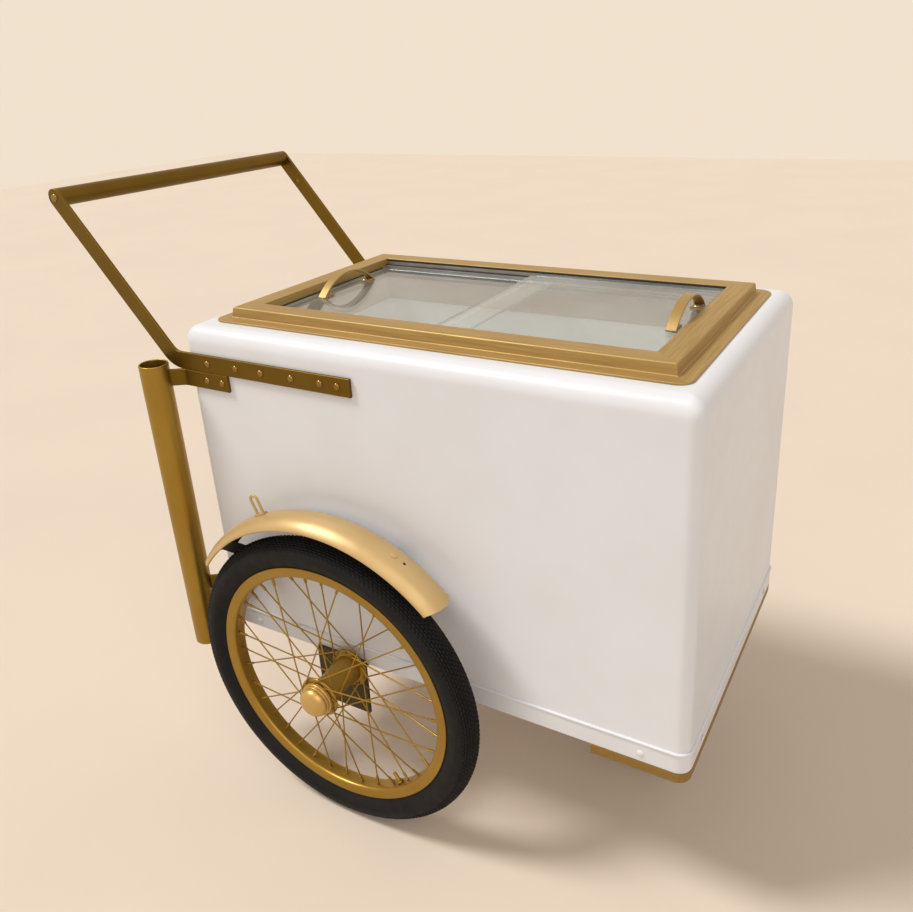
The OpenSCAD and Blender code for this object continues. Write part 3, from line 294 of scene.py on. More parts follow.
def turned(profile, centre, axis, steps=64, ring=False):
    """Turns a profile of (radius, distance along the axis) about an axis through a centre."""
    axis = np.asarray(axis, float) / np.linalg.norm(axis)
    side = np.cross(axis, [0.0, 0.0, 1.0] if abs(axis[2]) < 0.9 else [1.0, 0.0, 0.0])
    side /= np.linalg.norm(side)
    a = np.linspace(0, 2 * np.pi, steps, endpoint=False)
    spin = np.cos(a)[:, None] * side + np.sin(a)[:, None] * np.cross(axis, side)
    profile = np.asarray(profile, float)
    grid = np.asarray(centre, float) + profile[:, :1, None] * spin[None] + profile[:, 1:, None] * axis
    return skin(grid, ring)


def rods(starts, ends, radius, sides=8):
    """Straight round rods from many starts to as many ends, as one part."""
    d = (ends - starts) / np.linalg.norm(ends - starts, axis=1, keepdims=True)
    side = np.cross(d, np.where(np.abs(d[:, 1:2]) < 0.9, [[0.0, 1.0, 0.0]], [[1.0, 0.0, 0.0]]))
    side /= np.linalg.norm(side, axis=1, keepdims=True)
    other = np.cross(d, side)
    a = np.linspace(0, 2 * np.pi, sides, endpoint=False)
    ring = radius * (np.cos(a)[None, :, None] * side[:, None] + np.sin(a)[None, :, None] * other[:, None])
    points = np.stack([starts[:, None] + ring, ends[:, None] + ring], 1)
    base = (np.arange(len(starts)) * 2 * sides)[:, None]
    k = np.arange(sides)
    quads = np.stack([k, k + sides, (k + 1) % sides + sides, (k + 1) % sides], -1)
    faces = [(base[:, :, None] + quads[None]).reshape(-1, 4), base + k[None], base + sides + k[None, ::-1]]
    return outward(points.reshape(-1, 3), faces)


def domes(centres, axis, radius, rise, skirt=0.6 * MM, steps=20):
    """Domed heads that stand on their centres and point along an axis: a short upright skirt and a cap of a
    ball, which closes at the middle."""
    ball = (radius ** 2 + (rise - skirt) ** 2) / (2 * (rise - skirt))
    a = np.linspace(math.asin(min(1.0, radius / ball)), TIP, 9)
    cap = np.stack([ball * np.sin(a), rise - ball + ball * np.cos(a)], 1)
    points, faces = turned(np.concatenate([[[radius, 0.0]], cap]), (0, 0, 0), axis, steps)
    base = np.arange(len(centres)) * len(points)
    moved = (points[None] + np.asarray(centres, float)[:, None]).reshape(-1, 3)
    return moved, [(f[None] + base[:, None, None]).reshape(-1, f.shape[1]) for f in faces]


def wheel_points(side, ahead, up, out):
    """Points in a road wheel's own plane: ahead and up from the axle and outboard from the wheel's middle
    plane."""
    ahead, up, out = np.broadcast_arrays(ahead, up, out)
    return np.stack([AXLE_X + ahead, side * (WHEEL_Y + out), AXLE_Z + up], -1)


def put(name, data):
    """Puts new data into the scene as an object."""
    item = bpy.data.objects.new(name, data)
    bpy.context.scene.collection.objects.link(item)
    return item


def mesh_of(name, points, faces):
    mesh = bpy.data.meshes.new(name)
    mesh.from_pydata(points.tolist(), [], [row for f in faces for row in f.tolist()])
    mesh.update()
    return mesh


def add_piece(name, parts, finishes, nodes=(), body="cart", sharp=SHARP, flats=False):
    """Puts parts into one mesh at the origin, shades it smooth up to an angle, and lets it ride on a CAD
    body."""
    starts = np.cumsum([0] + [len(p) for p, _ in parts[:-1]])
    mesh = mesh_of(name, np.concatenate([p for p, _ in parts]),
                   [f + base for (_, faces), base in zip(parts, starts) for f in faces])
    mesh.shade_smooth()
    mesh.set_sharp_from_angle(angle=math.radians(sharp))
    for worn in finishes.split():
        mesh.materials.append(finish(worn))
    piece = put(name, mesh)
    if flats:
        piece.modifiers.new("Flat faces stay flat", "WEIGHTED_NORMAL").keep_sharp = True
    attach(piece, body)
    if nodes:
        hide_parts(*nodes)
    return piece


def dress(worn, *nodes):
    """Gives CAD nodes that stay in view a finish."""
    for name in nodes:
        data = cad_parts[name].data
        data.materials.clear()
        data.materials.append(finish(worn))


# Finishes

class Nodes:
    """A material's or a world's nodes under construction, with short ways to add and feed them."""

    def __init__(self, owner, output="OutputMaterial"):
        owner.use_nodes = True
        self.owner = owner
        self.tree = owner.node_tree
        self.tree.nodes.clear()
        self.surface = self.add(output).inputs["Surface"]

    def add(self, kind, feeds=None, **settings):
        """Adds a node, makes its settings and feeds its inputs, which are given by name or place."""
        node = self.tree.nodes.new("ShaderNode" + kind)
        for key, value in settings.items():
            setattr(node, key, value)
        for key, value in (feeds or {}).items():
            self.feed(node.inputs[key], value)
        return node

    def feed(self, socket, value):
        """Links an input to an output, or sets it to a number, a vector or a colour."""
        if isinstance(value, bpy.types.NodeSocket):
            self.tree.links.new(value, socket)
        else:
            socket.default_value = (*value, 1.0) if socket.type == "RGBA" else value

    def shader(self, base, metallic, rough, specular=0.5):
        """The material's one shader. Hands back its inputs."""
        node = self.add("BsdfPrincipled", {
            "Base Color": base, "Metallic": metallic, "Roughness": rough, "Specular IOR Level": specular})
        self.feed(self.surface, node.outputs[0])
        return node.inputs

    def noise(self, scale, detail=2.0, rough=0.5, stretch=None):
        place = self.add("TexCoord").outputs["Object"]
        if stretch is not None:
            place = self.add("Mapping", {"Vector": place, "Scale": stretch}).outputs[0]
        return self.add("TexNoise", {
            "Vector": place, "Scale": scale, "Detail": detail, "Roughness": rough}).outputs["Fac"]

    def ramp(self, value, low, high, first=0.0, last=1.0):
        """Maps a value between two limits onto two numbers."""
        return self.add("MapRange", {"Value": value, "From Min": low, "From Max": high,
                                     "To Min": first, "To Max": last}).outputs["Result"]

    def blend(self, factor, first, second):
        """Mixes two colours."""
        return self.add("Mix", {0: factor, 6: first, 7: second}, data_type="RGBA").outputs[2]

    def mix(self, factor, first, second):
        """Mixes two shaders."""
        return self.add("MixShader", {0: factor, 1: first, 2: second}).outputs[0]

    def bump(self, height, strength, distance):
        return self.add("Bump", {
            "Height": height, "Strength": strength, "Distance": distance}).outputs["Normal"]

    def math(self, operation, first, second=0.0):
        return self.add("Math", {0: first, 1: second}, operation=operation).outputs[0]

    def seen(self):
        """1 for what the camera sees, straight, mirrored or through glass, and 0 for light that surfaces
        gather."""
        rays = self.add("LightPath").outputs
        straight = self.math("MAXIMUM", rays["Is Camera Ray"], rays["Is Transmission Ray"])
        return self.math("MAXIMUM", straight, rays["Is Glossy Ray"])


def hue(name, tint=1.0):
    """One of the user's colours, times a tint, which is a number or a triple."""
    return tuple((np.array(getattr(sizes("colours"), name)) * tint).tolist())


def material(name):
    return Nodes(bpy.data.materials.new(name))


class Paint(NamedTuple):
    """Sprayed paint: the colour drifts with a broad noise toward a worn shade, the gloss swings with a
    finer one, and a fine orange peel bumps it."""
    colour: str
    metallic: float
    rough: float
    worn: tuple = (0.88, 0.84, 0.78)
    tint: tuple = (1.0, 1.0, 1.0)
    swing: float = 0.06
    peel: float = 0.10
    specular: float = 0.5

    def make(self, name):
        f, base = material(name), hue(self.colour, self.tint)
        skin = f.shader(base, self.metallic, self.rough, self.specular)
        drift = f.ramp(f.noise(7.0, detail=3.0, rough=0.55), 0.38, 0.66)
        f.feed(skin["Base Color"], f.blend(drift, base, hue(self.colour, np.multiply(self.tint, self.worn))))
        f.feed(skin["Roughness"], f.ramp(f.noise(55.0, detail=4.0, rough=0.6), 0.3, 0.7,
                                         self.rough - self.swing, self.rough + self.swing))
        f.feed(skin["Normal"], f.bump(f.noise(900.0), self.peel, 0.2 * MM))
        return f.owner


class Dark(NamedTuple):
    """Black plastic or rubber with a faint grain and dusty patches."""
    colour: str
    rough: float
    grain: float
    bump: float
    dust: float = 0.006
    specular: float = 0.5

    def make(self, name):
        f, base = material(name), hue(self.colour)
        skin = f.shader(base, 0.0, self.rough, self.specular)
        dusty = tuple(v * 1.5 + self.dust for v in base)
        patches = f.ramp(f.noise(14.0, detail=5.0, rough=0.62), 0.42, 0.75)
        f.feed(skin["Base Color"], f.blend(patches, base, dusty))
        gloss = f.noise(60.0, detail=3.0)
        f.feed(skin["Roughness"], f.ramp(gloss, 0.3, 0.7, self.rough - 0.08, self.rough + 0.08))
        f.feed(skin["Normal"], f.bump(f.noise(self.grain, detail=3.0), self.bump, 0.4 * MM))
        return f.owner


class Metal(NamedTuple):
    """Drawn or plated metal with faint scratches along one direction."""
    colour: str
    rough: float
    stretch: tuple

    def make(self, name):
        f, base = material(name), hue(self.colour)
        skin = f.shader(base, 1.0, self.rough)
        lines = f.noise(420.0, detail=4.0, rough=0.65, stretch=self.stretch)
        f.feed(skin["Roughness"], f.ramp(lines, 0.3, 0.7, self.rough - 0.1, self.rough + 0.12))
        patches = f.ramp(f.noise(30.0, detail=3.0), 0.35, 0.65)
        f.feed(skin["Base Color"], f.blend(patches, base, hue(self.colour, 0.82)))
        f.feed(skin["Normal"], f.bump(lines, 0.03, 0.2 * MM))
        return f.owner


class Grain(NamedTuple):
    """Foam or painted wood: one noise sets the colour, between two shades, and the bumps."""
    colour: str
    shades: tuple
    metallic: float
    rough: float
    noise: dict
    high: float
    bump: float
    depth: float

    def make(self, name):
        f = material(name)
        skin = f.shader(hue(self.colour), self.metallic, self.rough)
        grain = f.noise(**self.noise)
        light, deep = (hue(self.colour, v) for v in self.shades)
        f.feed(skin["Base Color"], f.blend(f.ramp(grain, 0.35, self.high), light, deep))
        f.feed(skin["Normal"], f.bump(grain, self.bump, self.depth))
        return f.owner


class Mitred(NamedTuple):
    """Gold whose fine grain runs along each side of the lid frame and turns at the mitres, where the
    distances from the frame's middle, less half its length and half its width, are equal."""
    colour: str
    along: float = 0.035

    def make(self, name):
        f = material(name)
        skin = f.shader(hue(self.colour), 0.4, 0.47)
        place = f.add("SeparateXYZ", {0: f.add("TexCoord").outputs["Object"]}).outputs
        off = f.math("ABSOLUTE", f.math("SUBTRACT", place["X"], float(LID.mid[0])))
        past = f.math("SUBTRACT", off, f.math("ABSOLUTE", place["Y"]))
        ends = f.math("GREATER_THAN", past, float(LID.half[0] - LID.half[1]))
        long, cross = (f.noise(300.0, detail=4.0, rough=0.6, stretch=v)
                       for v in ((self.along, 1.0, 1.0), (1.0, self.along, 1.0)))
        grain = f.math("ADD", long, f.math("MULTIPLY", ends, f.math("SUBTRACT", cross, long)))
        f.feed(skin["Base Color"], f.blend(f.ramp(grain, 0.32, 0.68), hue(self.colour, 1.10),
                                           hue(self.colour, (0.84, 0.80, 0.72))))
        f.feed(skin["Roughness"], f.ramp(grain, 0.3, 0.7, 0.42, 0.54))
        f.feed(skin["Normal"], f.bump(grain, 0.10, 0.3 * MM))
        return f.owner


class Glass(NamedTuple):
    """Clear glass: light passes with a tint, a share of a pale film is added, and the surface mirrors more
    at a slant."""
    colour: str
    rough: float
    film: float

    def make(self, name):
        f = material(name)
        through = f.add("BsdfTransparent", {"Color": hue(self.colour)}).outputs[0]
        film = f.add("BsdfDiffuse", {"Color": hue("film")}).outputs[0]
        smear = f.ramp(f.noise(9.0, detail=4.0, rough=0.6), 0.3, 0.75, self.film * 0.6, self.film * 1.5)
        gloss = f.add("BsdfGlossy", {"Roughness": self.rough}).outputs[0]
        slant = f.math("POWER", f.add("LayerWeight", {"Blend": 0.5}).outputs["Facing"], 5.0)
        f.feed(f.surface, f.mix(f.ramp(slant, 0.0, 1.0, 0.04), f.mix(smear, through, film), gloss))
        return f.owner


FINISHES = {
    "gold_paint": Paint("gold", 0.45, 0.42),
    # Painted light: the fenders wear a lightened copy of the gold
    "pale_gold": Paint("pale", 0.35, 0.38),
    # Painted light: the caps wear the same lightened gold, deepened by a tint
    "cap_gold": Paint("pale", 0.6, 0.32, worn=(0.94,) * 3, tint=(0.98, 0.90, 0.64), swing=0.03, peel=0.02),
    # Painted shade: rims, spokes, hubs, valves and the umbrella tube wear a darkened copy of the gold
    "rim_gold_painted_shade": Paint("bright", 0.85, 0.38),
    # Painted shade: the push bars, the grip and the tube brackets wear a darker copy of the gold
    "bar_gold_painted_shade": Paint("bronze", 0.90, 0.40),
    # Painted shade: the bolts wear a darkened copy of the gold
    "gold_bolt": Paint("bolt", 0.95, 0.24, worn=(2 / 3, 0.6, 1 / 3), peel=0.05),
    # Painted shade: the axle brackets wear a very dark copy of the gold
    "dark_gold": Paint("bracket", 0.55, 0.48, worn=(11 / 15, 39 / 55, 11 / 18), swing=0.07, peel=0.12),
    "white_skin": Paint("white", 0.0, 0.34, worn=(0.972, 0.966, 0.955), peel=0.05, specular=0.45),
    "white_strip": Paint("white", 0.0, 0.36, worn=(0.95, 0.94, 0.925), tint=(0.985,) * 3, swing=0.08,
                         peel=0.08),
    "lining": Paint("liner", 0.0, 0.42, worn=(0.95,) * 3, peel=0.08),
    "collar": Paint("collar", 0.0, 0.46, worn=(0.9,) * 3, peel=0.08),
    "frame_gold": Mitred("gold"),
    "board_paint": Grain("gold", ((0.76, 0.69, 0.47), (0.58, 0.51, 0.32)), 0.55, 0.5,
                         {"scale": 60.0, "detail": 5.0, "rough": 0.6, "stretch": (1.0, 14.0, 14.0)},
                         0.7, 0.25, 0.6 * MM),
    "foam": Grain("foam", (1.0, (26 / 33, 0.75, 11 / 17)), 0.0, 0.9,
                  {"scale": 400.0, "detail": 4.0, "rough": 0.7}, 0.65, 0.6, 1.0 * MM),
    "aluminium": Metal("aluminium", 0.46, (0.02, 1.0, 1.0)),
    "zinc": Metal("zinc", 0.34, (1.0, 1.0, 1.0)),
    "tyre_rubber": Dark("rubber", 0.66, 700.0, 0.2, dust=0.001, specular=0.2),
    "caster_rubber": Dark("caster", 0.58, 600.0, 0.2),
    "black_paint": Dark("stay", 0.42, 900.0, 0.1),
    "black_strip": Dark("seal", 0.5, 1200.0, 0.3),
    # Painted shade: a black for the fenders' inner faces
    "underseal": Dark("underseal", 0.8, 500.0, 0.6),
    "grey_plastic": Dark("plug", 0.5, 900.0, 0.15),
    "pane_glass": Glass("glass", 0.015, 0.100),
    "glass_edge": Glass("glass_edge", 0.12, 0.35),
}


@cache
def finish(name):
    """Makes a finish at its first use and hands the same material to every piece that wears it."""
    return FINISHES[name].make(name)


# Pieces. Bare numbers in an outline are places along it, in millimetres

CORNER_STEPS = 12
AXIS_GAP = 0.4 * MM  # radius of the small flat face that closes a disc at its middle


def on_body(loops, heights):
    """Plan outlines stacked about the body's middle. Points ahead of the middle move back by their height's
    share of the front face's lean."""
    grid = stacked(loops, heights)
    ahead = grid[..., 0] > 0
    share = (grid[..., 2] - PAN.low[2]) / (BODY.high[2] - PAN.low[2])
    grid[..., 0] += BODY.mid[0] - sizes("body").front_lean * share * ahead
    return grid


def body_loops(insets, least_r, steps):
    """The body's plan outline, drawn in by each inset."""
    r = sizes("body").edge_r
    return [rounded_loop(BODY.half[0] - d, BODY.half[1] - d, max(r - d, least_r), 0.0, steps) for d in insets]


def build_body():
    """The body's skin: rounded rectangles stacked up the sides, drawn in over a quarter circle at the top,
    in to the mouth, and back down inside as a second wall."""
    s, lid = sizes("body"), sizes("lid")
    low, top, t, r = BODY.low[2], BODY.high[2], s.skin, s.top_r - s.skin
    foot_row, side_row, deck_row, mouth_r, least_r = 10 * MM, 4 * MM, 3 * MM, 0.8 * MM, 2 * MM
    band = lid.flange + lid.lean + lid.rim
    mouth = rounded_loop(LID.half[0] - band, LID.half[1] - band, mouth_r, LID.mid[0] - BODY.mid[0],
                         CORNER_STEPS)
    a = arc(0, np.pi / 2, 12)
    inset = np.concatenate([[0, 0, 0], s.top_r * (1 - np.cos(a)), [s.top_r + deck_row]])
    up = np.concatenate([[low, low + foot_row, top - s.top_r - side_row],
                         top - s.top_r + s.top_r * np.sin(a), [top]])
    inside = np.concatenate([t + r * (1 - np.cos(a[::-1])), [t]])
    down = np.concatenate([top - s.top_r + r * np.sin(a[::-1]), [low]])
    grid = np.concatenate([on_body(body_loops(inset, least_r, CORNER_STEPS), up),
                           stacked([mouth, mouth], [top, top - t]) + BODY_X,
                           on_body(body_loops(inside, least_r, CORNER_STEPS), down)])
    add_piece("body_skin", [skin(grid, ring=True)], "white_skin", ["body_shell"], flats=True)


def build_base():
    """The base pan: a strip with a bead along its top and a rolled foot, carried round the body, over a
    flat floor, with rivets. The caster board is a rounded plate cut off square at the back."""
    s = sizes("body")
    low, top, hy = PAN.low[2], PAN.high[2], PAN.half[1]
    wall = hy - BODY.half[1]
    hx, corner = BODY.half[0] + wall, s.edge_r + wall
    roll, crease, bead_row, floor_in = 2.2 * MM, 0.4 * MM, 1 * MM, 2 * MM

    def plan(insets):
        return [rounded_loop(hx - d, hy - d, corner - d, 0.0, CORNER_STEPS) for d in insets]

    a, bead_z = arc(-np.pi / 2, np.pi / 2, 8), top - s.bead_r
    inner = 1.05 * wall
    out = np.concatenate([[roll, 2 * crease, 0.0, 0.0], -0.8 * s.bead_r * np.cos(a), [inner, inner]])
    up = np.concatenate([[low, low + crease, low + roll, bead_z - s.bead_r - bead_row],
                         bead_z + s.bead_r * np.sin(a), [top - crease, low]])
    floor = stacked(plan((floor_in, floor_in)), (low, low + wall)) + BODY_X
    strip = [skin(on_body(plan(out), up), ring=True), skin(floor)]
    add_piece("base_strip", strip, "white_strip", ["base_pan"], flats=True)
    side_rise, end_rise, mid = 2.2 * MM, 2 * MM, low + s.rivet_up
    x, y = (BODY.low[0] + s.rivet_inset, BODY.high[0] - s.rivet_inset), BODY.half[1] - s.rivet_inset
    heads = [domes([[v, e * hy, mid] for v in x], (0, e, 0), s.rivet_r, side_rise) for e in (-1, 1)]
    heads += [domes([[BODY.mid[0] + e * hx, v, mid] for v in (-y, y)], (e, 0, 0), s.rivet_r, end_rise)
              for e in (-1, 1)]
    add_piece("strip_rivets", heads, "white_strip", ["base_rivets"])
    plate, edge = Box("caster_board"), s.board_edge
    rows = [(edge, plate.low[2]), (edge * 0.3, plate.low[2] + edge * 0.3), (0, plate.low[2] + edge),
            (0, plate.high[2] - edge * 0.4), (edge * 0.4, plate.high[2])]
    board = stacked(plan([d for d, _ in rows]), [z for _, z in rows]) + BODY_X
    board[..., 0] = np.maximum(board[..., 0], plate.low[0])
    add_piece("front_board", [skin(board)], "board_paint", ["caster_board"], flats=True)
    dress("zinc", "board_screws")


def build_tub():
    """The foam is a block that follows the skin's inner wall, with a pocket for the tub; the tub and its
    collar keep their CAD shapes and get their finishes."""
    s = sizes("body")
    block, tub, gap, least_r = Box("insulation"), Box("inner_liner"), 0.2 * MM, 1 * MM
    t, r = s.skin + gap, s.top_r - s.skin
    a = arc(0, np.pi / 2, 8)
    inset = np.concatenate([[t], t + r * (1 - np.cos(a))])
    up = np.concatenate([[block.low[2]], block.high[2] - r + r * np.sin(a)])
    pocket = rounded_loop(tub.half[0] + gap, tub.half[1] + gap, least_r, tub.mid[0] - BODY.mid[0])
    hole = stacked([pocket, pocket], [block.high[2], tub.low[2] - gap]) + BODY_X
    grid = np.concatenate([on_body(body_loops(inset, least_r, 8), up), hole])
    add_piece("foam_fill", [skin(grid)], "foam", ["insulation"])
    dress("lining", "inner_liner")
    dress("collar", "throat_collar")


def build_lid_frame():
    """The lid frame: its section, from the flange's outer edge over the steep face and the rim to the
    mouth, is carried round a rectangle whose corners are round at the flange and sharp from the steep face
    inward. Fine seals, lips and track walls line the mouth."""
    s = sizes("lid")
    low, top, ft = LID.low[2], LID.high[2], LID.low[2] + s.flange_t
    foot, brow, inner = s.flange, s.flange + s.lean, s.flange + s.lean + s.rim
    under, edge, cove, brow_r, brow_in, lip_r = (v * MM for v in (0.5, 1.2, 1.6, 2.6, 0.3, 1.4))
    a = arc(0, np.pi / 2, 4)
    brows = np.stack([brow + brow_r - (brow_r + brow_in) * np.cos(a), top - brow_r + brow_r * np.sin(a)], 1)
    rows = np.concatenate([
        [(under, low), (0.0, low + 1.2 * under), (0.0, ft - edge), (edge / 3, ft - edge / 3), (edge, ft),
         (foot - cove, ft), (foot - 0.3125 * cove, ft + 0.3125 * cove), (foot, ft + cove)],
        brows, on_circle(a[::-1], lip_r, inner - lip_r, top - lip_r), [(inner, low)]])
    least_r, rest = 0.7 * MM, 3 * MM
    loops = [rounded_loop(*(LID.half[:2] - o), max(s.corner_r - o, least_r), LID.mid[0], rest=rest)
             for o in rows[:, 0]]
    add_piece("lid_frame", [skin(stacked(loops, rows[:, 1]), ring=True)], "frame_gold", ["top_frame"],
              flats=True)
    dress("aluminium", "pane_tracks")
    dress("black_strip", "glide_strips", "end_seals")
    x, y = np.linspace(-1, 1, 24) * (LID.half[0] - inner) + LID.mid[0], LID.half[1] - inner
    track, strip_r = Box("pane_tracks"), 0.3 * MM

    def strips(thick, bottom, top, off):
        bar = section(thick, top - bottom, strip_r)
        return [carried(bar, np.stack([x, 0 * x + e * off, 0 * x + (top + bottom) / 2], 1), (0, 0, 1))
                for e in (-1, 1)]

    # Seals under the rim's inner edge, whose black also paints the shade in the gap there
    seals = strips(thick=0.9 * MM, bottom=top - 4.4 * MM, top=top - 1.2 * MM, off=y - 0.6 * MM)
    # Painted shade: black strips hung from the tracks' inner edges, standing in for the shadow in the gap
    # under the lower track
    track_shadow_lips = strips(thick=0.8 * MM, bottom=track.low[2] - 2.6 * MM, top=track.low[2] + 2.6 * MM,
                  off=y - s.ledges - 0.5 * MM)
    walls = strips(thick=0.6 * MM, bottom=track.high[2], top=top - 4.6 * MM, off=y - 0.4 * MM)
    add_piece("shadow_gap_strips", seals + track_shadow_lips, "black_strip")
    add_piece("track_walls", walls, "aluminium")


def pane_slab(name):
    """A pane: its outline stacked through the thickness, with a small ground arris along every edge."""
    pane, arris, corner_r, rest = Box(name), sizes("lid").arris, 2.5 * MM, 1 * MM
    rows = [(arris, pane.low[2]), (0, pane.low[2] + arris), (0, pane.high[2] - arris), (arris, pane.high[2])]
    loops = [rounded_loop(pane.half[0] - d, pane.half[1] - d, corner_r, 0.0, 3, rest) for d, _ in rows]
    return skin(stacked(loops, [z for _, z in rows]) + np.array([pane.mid[0], pane.mid[1], 0.0]))


def pane_handle(name):
    """A strap handle: a flat section carried along an arc over the whole span, and along two feet turned in
    under it."""
    s, strap, bite, edge_r = sizes("lid"), Box(name), 0.8 * MM, 1.1 * MM
    x, base, half, rise, t = strap.mid[0], strap.low[2], strap.high[1], 2 * strap.half[2], s.pull_t
    bow = (half ** 2 + rise ** 2) / (2 * rise)
    reach = math.acos((bow - rise + bite) / bow)
    a = np.linspace(-reach, reach, 60)
    y, up = (bow - t / 2) * np.sin(a), np.maximum(rise - bow + (bow - t / 2) * np.cos(a), 0.0)
    profile = section(2 * strap.half[0], t, edge_r)
    path = np.stack([0 * y + x, y, base + up], 1)
    parts = [carried(profile, path, np.cross([1.0, 0.0, 0.0], np.gradient(path, axis=0)))]
    for e in (-1, 1):
        y = np.linspace(half - s.pull_foot, half - 1.6 * t, 8) * e
        parts.append(carried(profile, np.stack([0 * y + x, y, 0 * y + base + t / 2], 1), (0, 0, 1)))
    return parts


def build_panes():
    """Both glass panes, with a second finish on their edges, their strap handles and the handles'
    screws."""
    for side in ("left", "right"):
        body = side + "_pane"
        glass = add_piece(side + "_pane_glass", [pane_slab(side + "_glass")], "pane_glass glass_edge",
                          [side + "_glass"], body, sharp=20)
        edges = np.abs(facets(glass.data, "normal")[:, 2]) < 0.9
        glass.data.polygons.foreach_set("material_index", edges.astype(np.int32))
        add_piece(side + "_strap_handle", pane_handle(side + "_pane_handle"), "gold_paint",
                  [side + "_pane_handle"], body, flats=True)
        dress("zinc", side + "_handle_screws")


def facets(mesh, what):
    """One vector for each of a mesh's faces."""
    values = np.empty(len(mesh.polygons) * 3)
    mesh.polygons.foreach_get(what, values)
    return values.reshape(-1, 3)


def bar_line():
    """A push bar's bend and the grip's middle, seen from the side."""
    s = sizes("handle")
    return np.array([BODY.low[0] - s.bend_back, BAR.low[2] + s.bar_w / 2]), GRIP.mid[[0, 2]]


def push_bar(side):
    """A push bar: a flat section carried from the front of the body's side, through an eased bend, up to a
    round end."""
    s, step, edge_r = sizes("handle"), 3 * MM, 1.2 * MM
    (bend, grip), half = bar_line(), s.bar_w / 2
    line = bent(np.array([[BAR.high[0], bend[1]], bend, grip]), step, s.bend_r)
    way = line[-1] - line[-2]
    past = np.sin(np.linspace(0, np.pi / 2, 14)[1:]) * half * 0.999
    line = np.concatenate([line, line[-1] + past[:, None] * way / np.linalg.norm(way)])
    width = np.concatenate([np.ones(len(line) - len(past)), np.sqrt(1 - (past / half) ** 2)])
    path = np.stack([line[:, 0], np.full(len(line), side * abs(BAR.mid[1])), line[:, 1]], 1)
    return carried(section(s.bar_w, 2 * BAR.half[1], edge_r), path, (0, 1, 0), width)


def build_push_handle():
    """The two push bars, their domed bolts and studs, and the grip tube between them with plugs and end
    bolts."""
    s = sizes("handle")
    for side, name in SIDES:
        add_piece(name + "_bar", [push_bar(side)], "bar_gold_painted_shade", [name + "_push_bar"],
                  flats=True)
    face, (bend, grip) = abs(BAR.low[1]), bar_line()
    x = BODY.low[0] + (BAR.high[0] - BODY.low[0]) * np.array([0.155, 0.335, 0.49, 0.67, 0.835, 0.93])
    bolts = [domes([[v, e * face, bend[1]] for v in x], (0, e, 0), s.bolt_r, s.bolt_rise) for e in (-1, 1)]
    add_piece("bar_bolts", bolts, "gold_bolt", ["push_bar_bolts"])
    (stud_x, stud_z), stud_r, stud_rise = bend + 0.82 * (grip - bend), 3.2 * MM, 1.4 * MM
    studs = [domes([[stud_x, e * BODY.half[1], stud_z]], (0, -e, 0), stud_r, stud_rise) for e in (-1, 1)]
    add_piece("bar_studs", studs, "gold_bolt")
    r, reach, face_in, side_in = GRIP.half[2], GRIP.half[1], 0.6 * MM, 0.8 * MM
    tube = [(r - s.grip_wall, -reach), (r - face_in, -reach), (r, -reach + side_in), (r, reach - side_in),
            (r - face_in, reach), (r - s.grip_wall, reach)]
    add_piece("grip", [turned(tube, GRIP.mid, (0, 1, 0), ring=True)], "bar_gold_painted_shade", ["grip_tube"],
              flats=True)
    ends = [domes([[grip[0], e * face, grip[1]]], (0, e, 0), s.bolt_r * 1.1, s.bolt_rise) for e in (-1, 1)]
    add_piece("grip_end_bolts", ends, "gold_bolt", ["grip_bolts"])
    dress("grey_plastic", "grip_plugs")


def tube_bracket(strap, tube):
    """A tube bracket: an upright strap along the body's side that bends outward past the corner to the
    tube."""
    s, bite, step, ease, edge_r = sizes("handle"), 0.5 * MM, 1 * MM, 10 * MM, 1.2 * MM
    y = -BODY.half[1] - s.bracket_t / 2
    bend, centre = np.array([BODY.low[0] - s.bracket_t, y]), tube.mid[:2]
    way = (centre - bend) / np.linalg.norm(centre - bend)
    line = bent(np.array([[strap.high[0], y], bend, centre - way * (tube.half[0] - bite)]), step, ease)
    line[:, 1] = np.minimum(line[:, 1], y)
    path = np.column_stack([line, np.full(len(line), strap.mid[2])])
    return carried(section(s.bracket_t, 2 * strap.half[2], edge_r), path, (0, 0, 1))


def build_umbrella_tube():
    """The umbrella tube with a rounded lip and a closed foot, and its two brackets with domed bolts."""
    s, tube, disc = sizes("handle"), Box("umbrella_tube"), Box("tube_end_disc")
    r, low, high = tube.half[0], tube.low[2], tube.high[2]
    place, inner, lip = (tube.mid[0], tube.mid[1], 0), r - s.tube_wall, s.tube_wall / 2
    row, edge = 3 * MM, 1 * MM
    mouth = on_circle(arc(0, np.pi, 8), lip, r - lip, high - lip)
    wall = np.concatenate([[(r, low), (r, high - lip - row)], mouth,
                           [(inner, high - lip - row), (inner, low)]])
    add_piece("parasol_tube", [turned(wall, place, (0, 0, 1), ring=True)], "rim_gold_painted_shade", ["umbrella_tube"],
              flats=True)
    foot = [(AXIS_GAP, disc.low[2]), (r - edge, disc.low[2]), (r, disc.low[2] + edge), (r, disc.high[2]),
            (AXIS_GAP, disc.high[2])]
    add_piece("parasol_tube_foot", [turned(foot, place, (0, 0, 1), 48)], "rim_gold_painted_shade", ["tube_end_disc"],
              flats=True)
    bolts = []
    for end in ("upper", "lower"):
        strap = Box(end + "_tube_bracket")
        add_piece(end + "_parasol_bracket", [tube_bracket(strap, tube)], "bar_gold_painted_shade", [end + "_tube_bracket"],
                  flats=True)
        run = strap.high[0] - BODY.low[0]
        bolts += [[BODY.low[0] + k * run, -BODY.half[1] - s.bracket_t, strap.mid[2]] for k in (0.5, 0.86)]
    add_piece("bracket_bolts", [domes(bolts, (0, -1, 0), s.bolt_r, s.bolt_rise)], "gold_bolt",
              ["tube_bracket_bolts"])


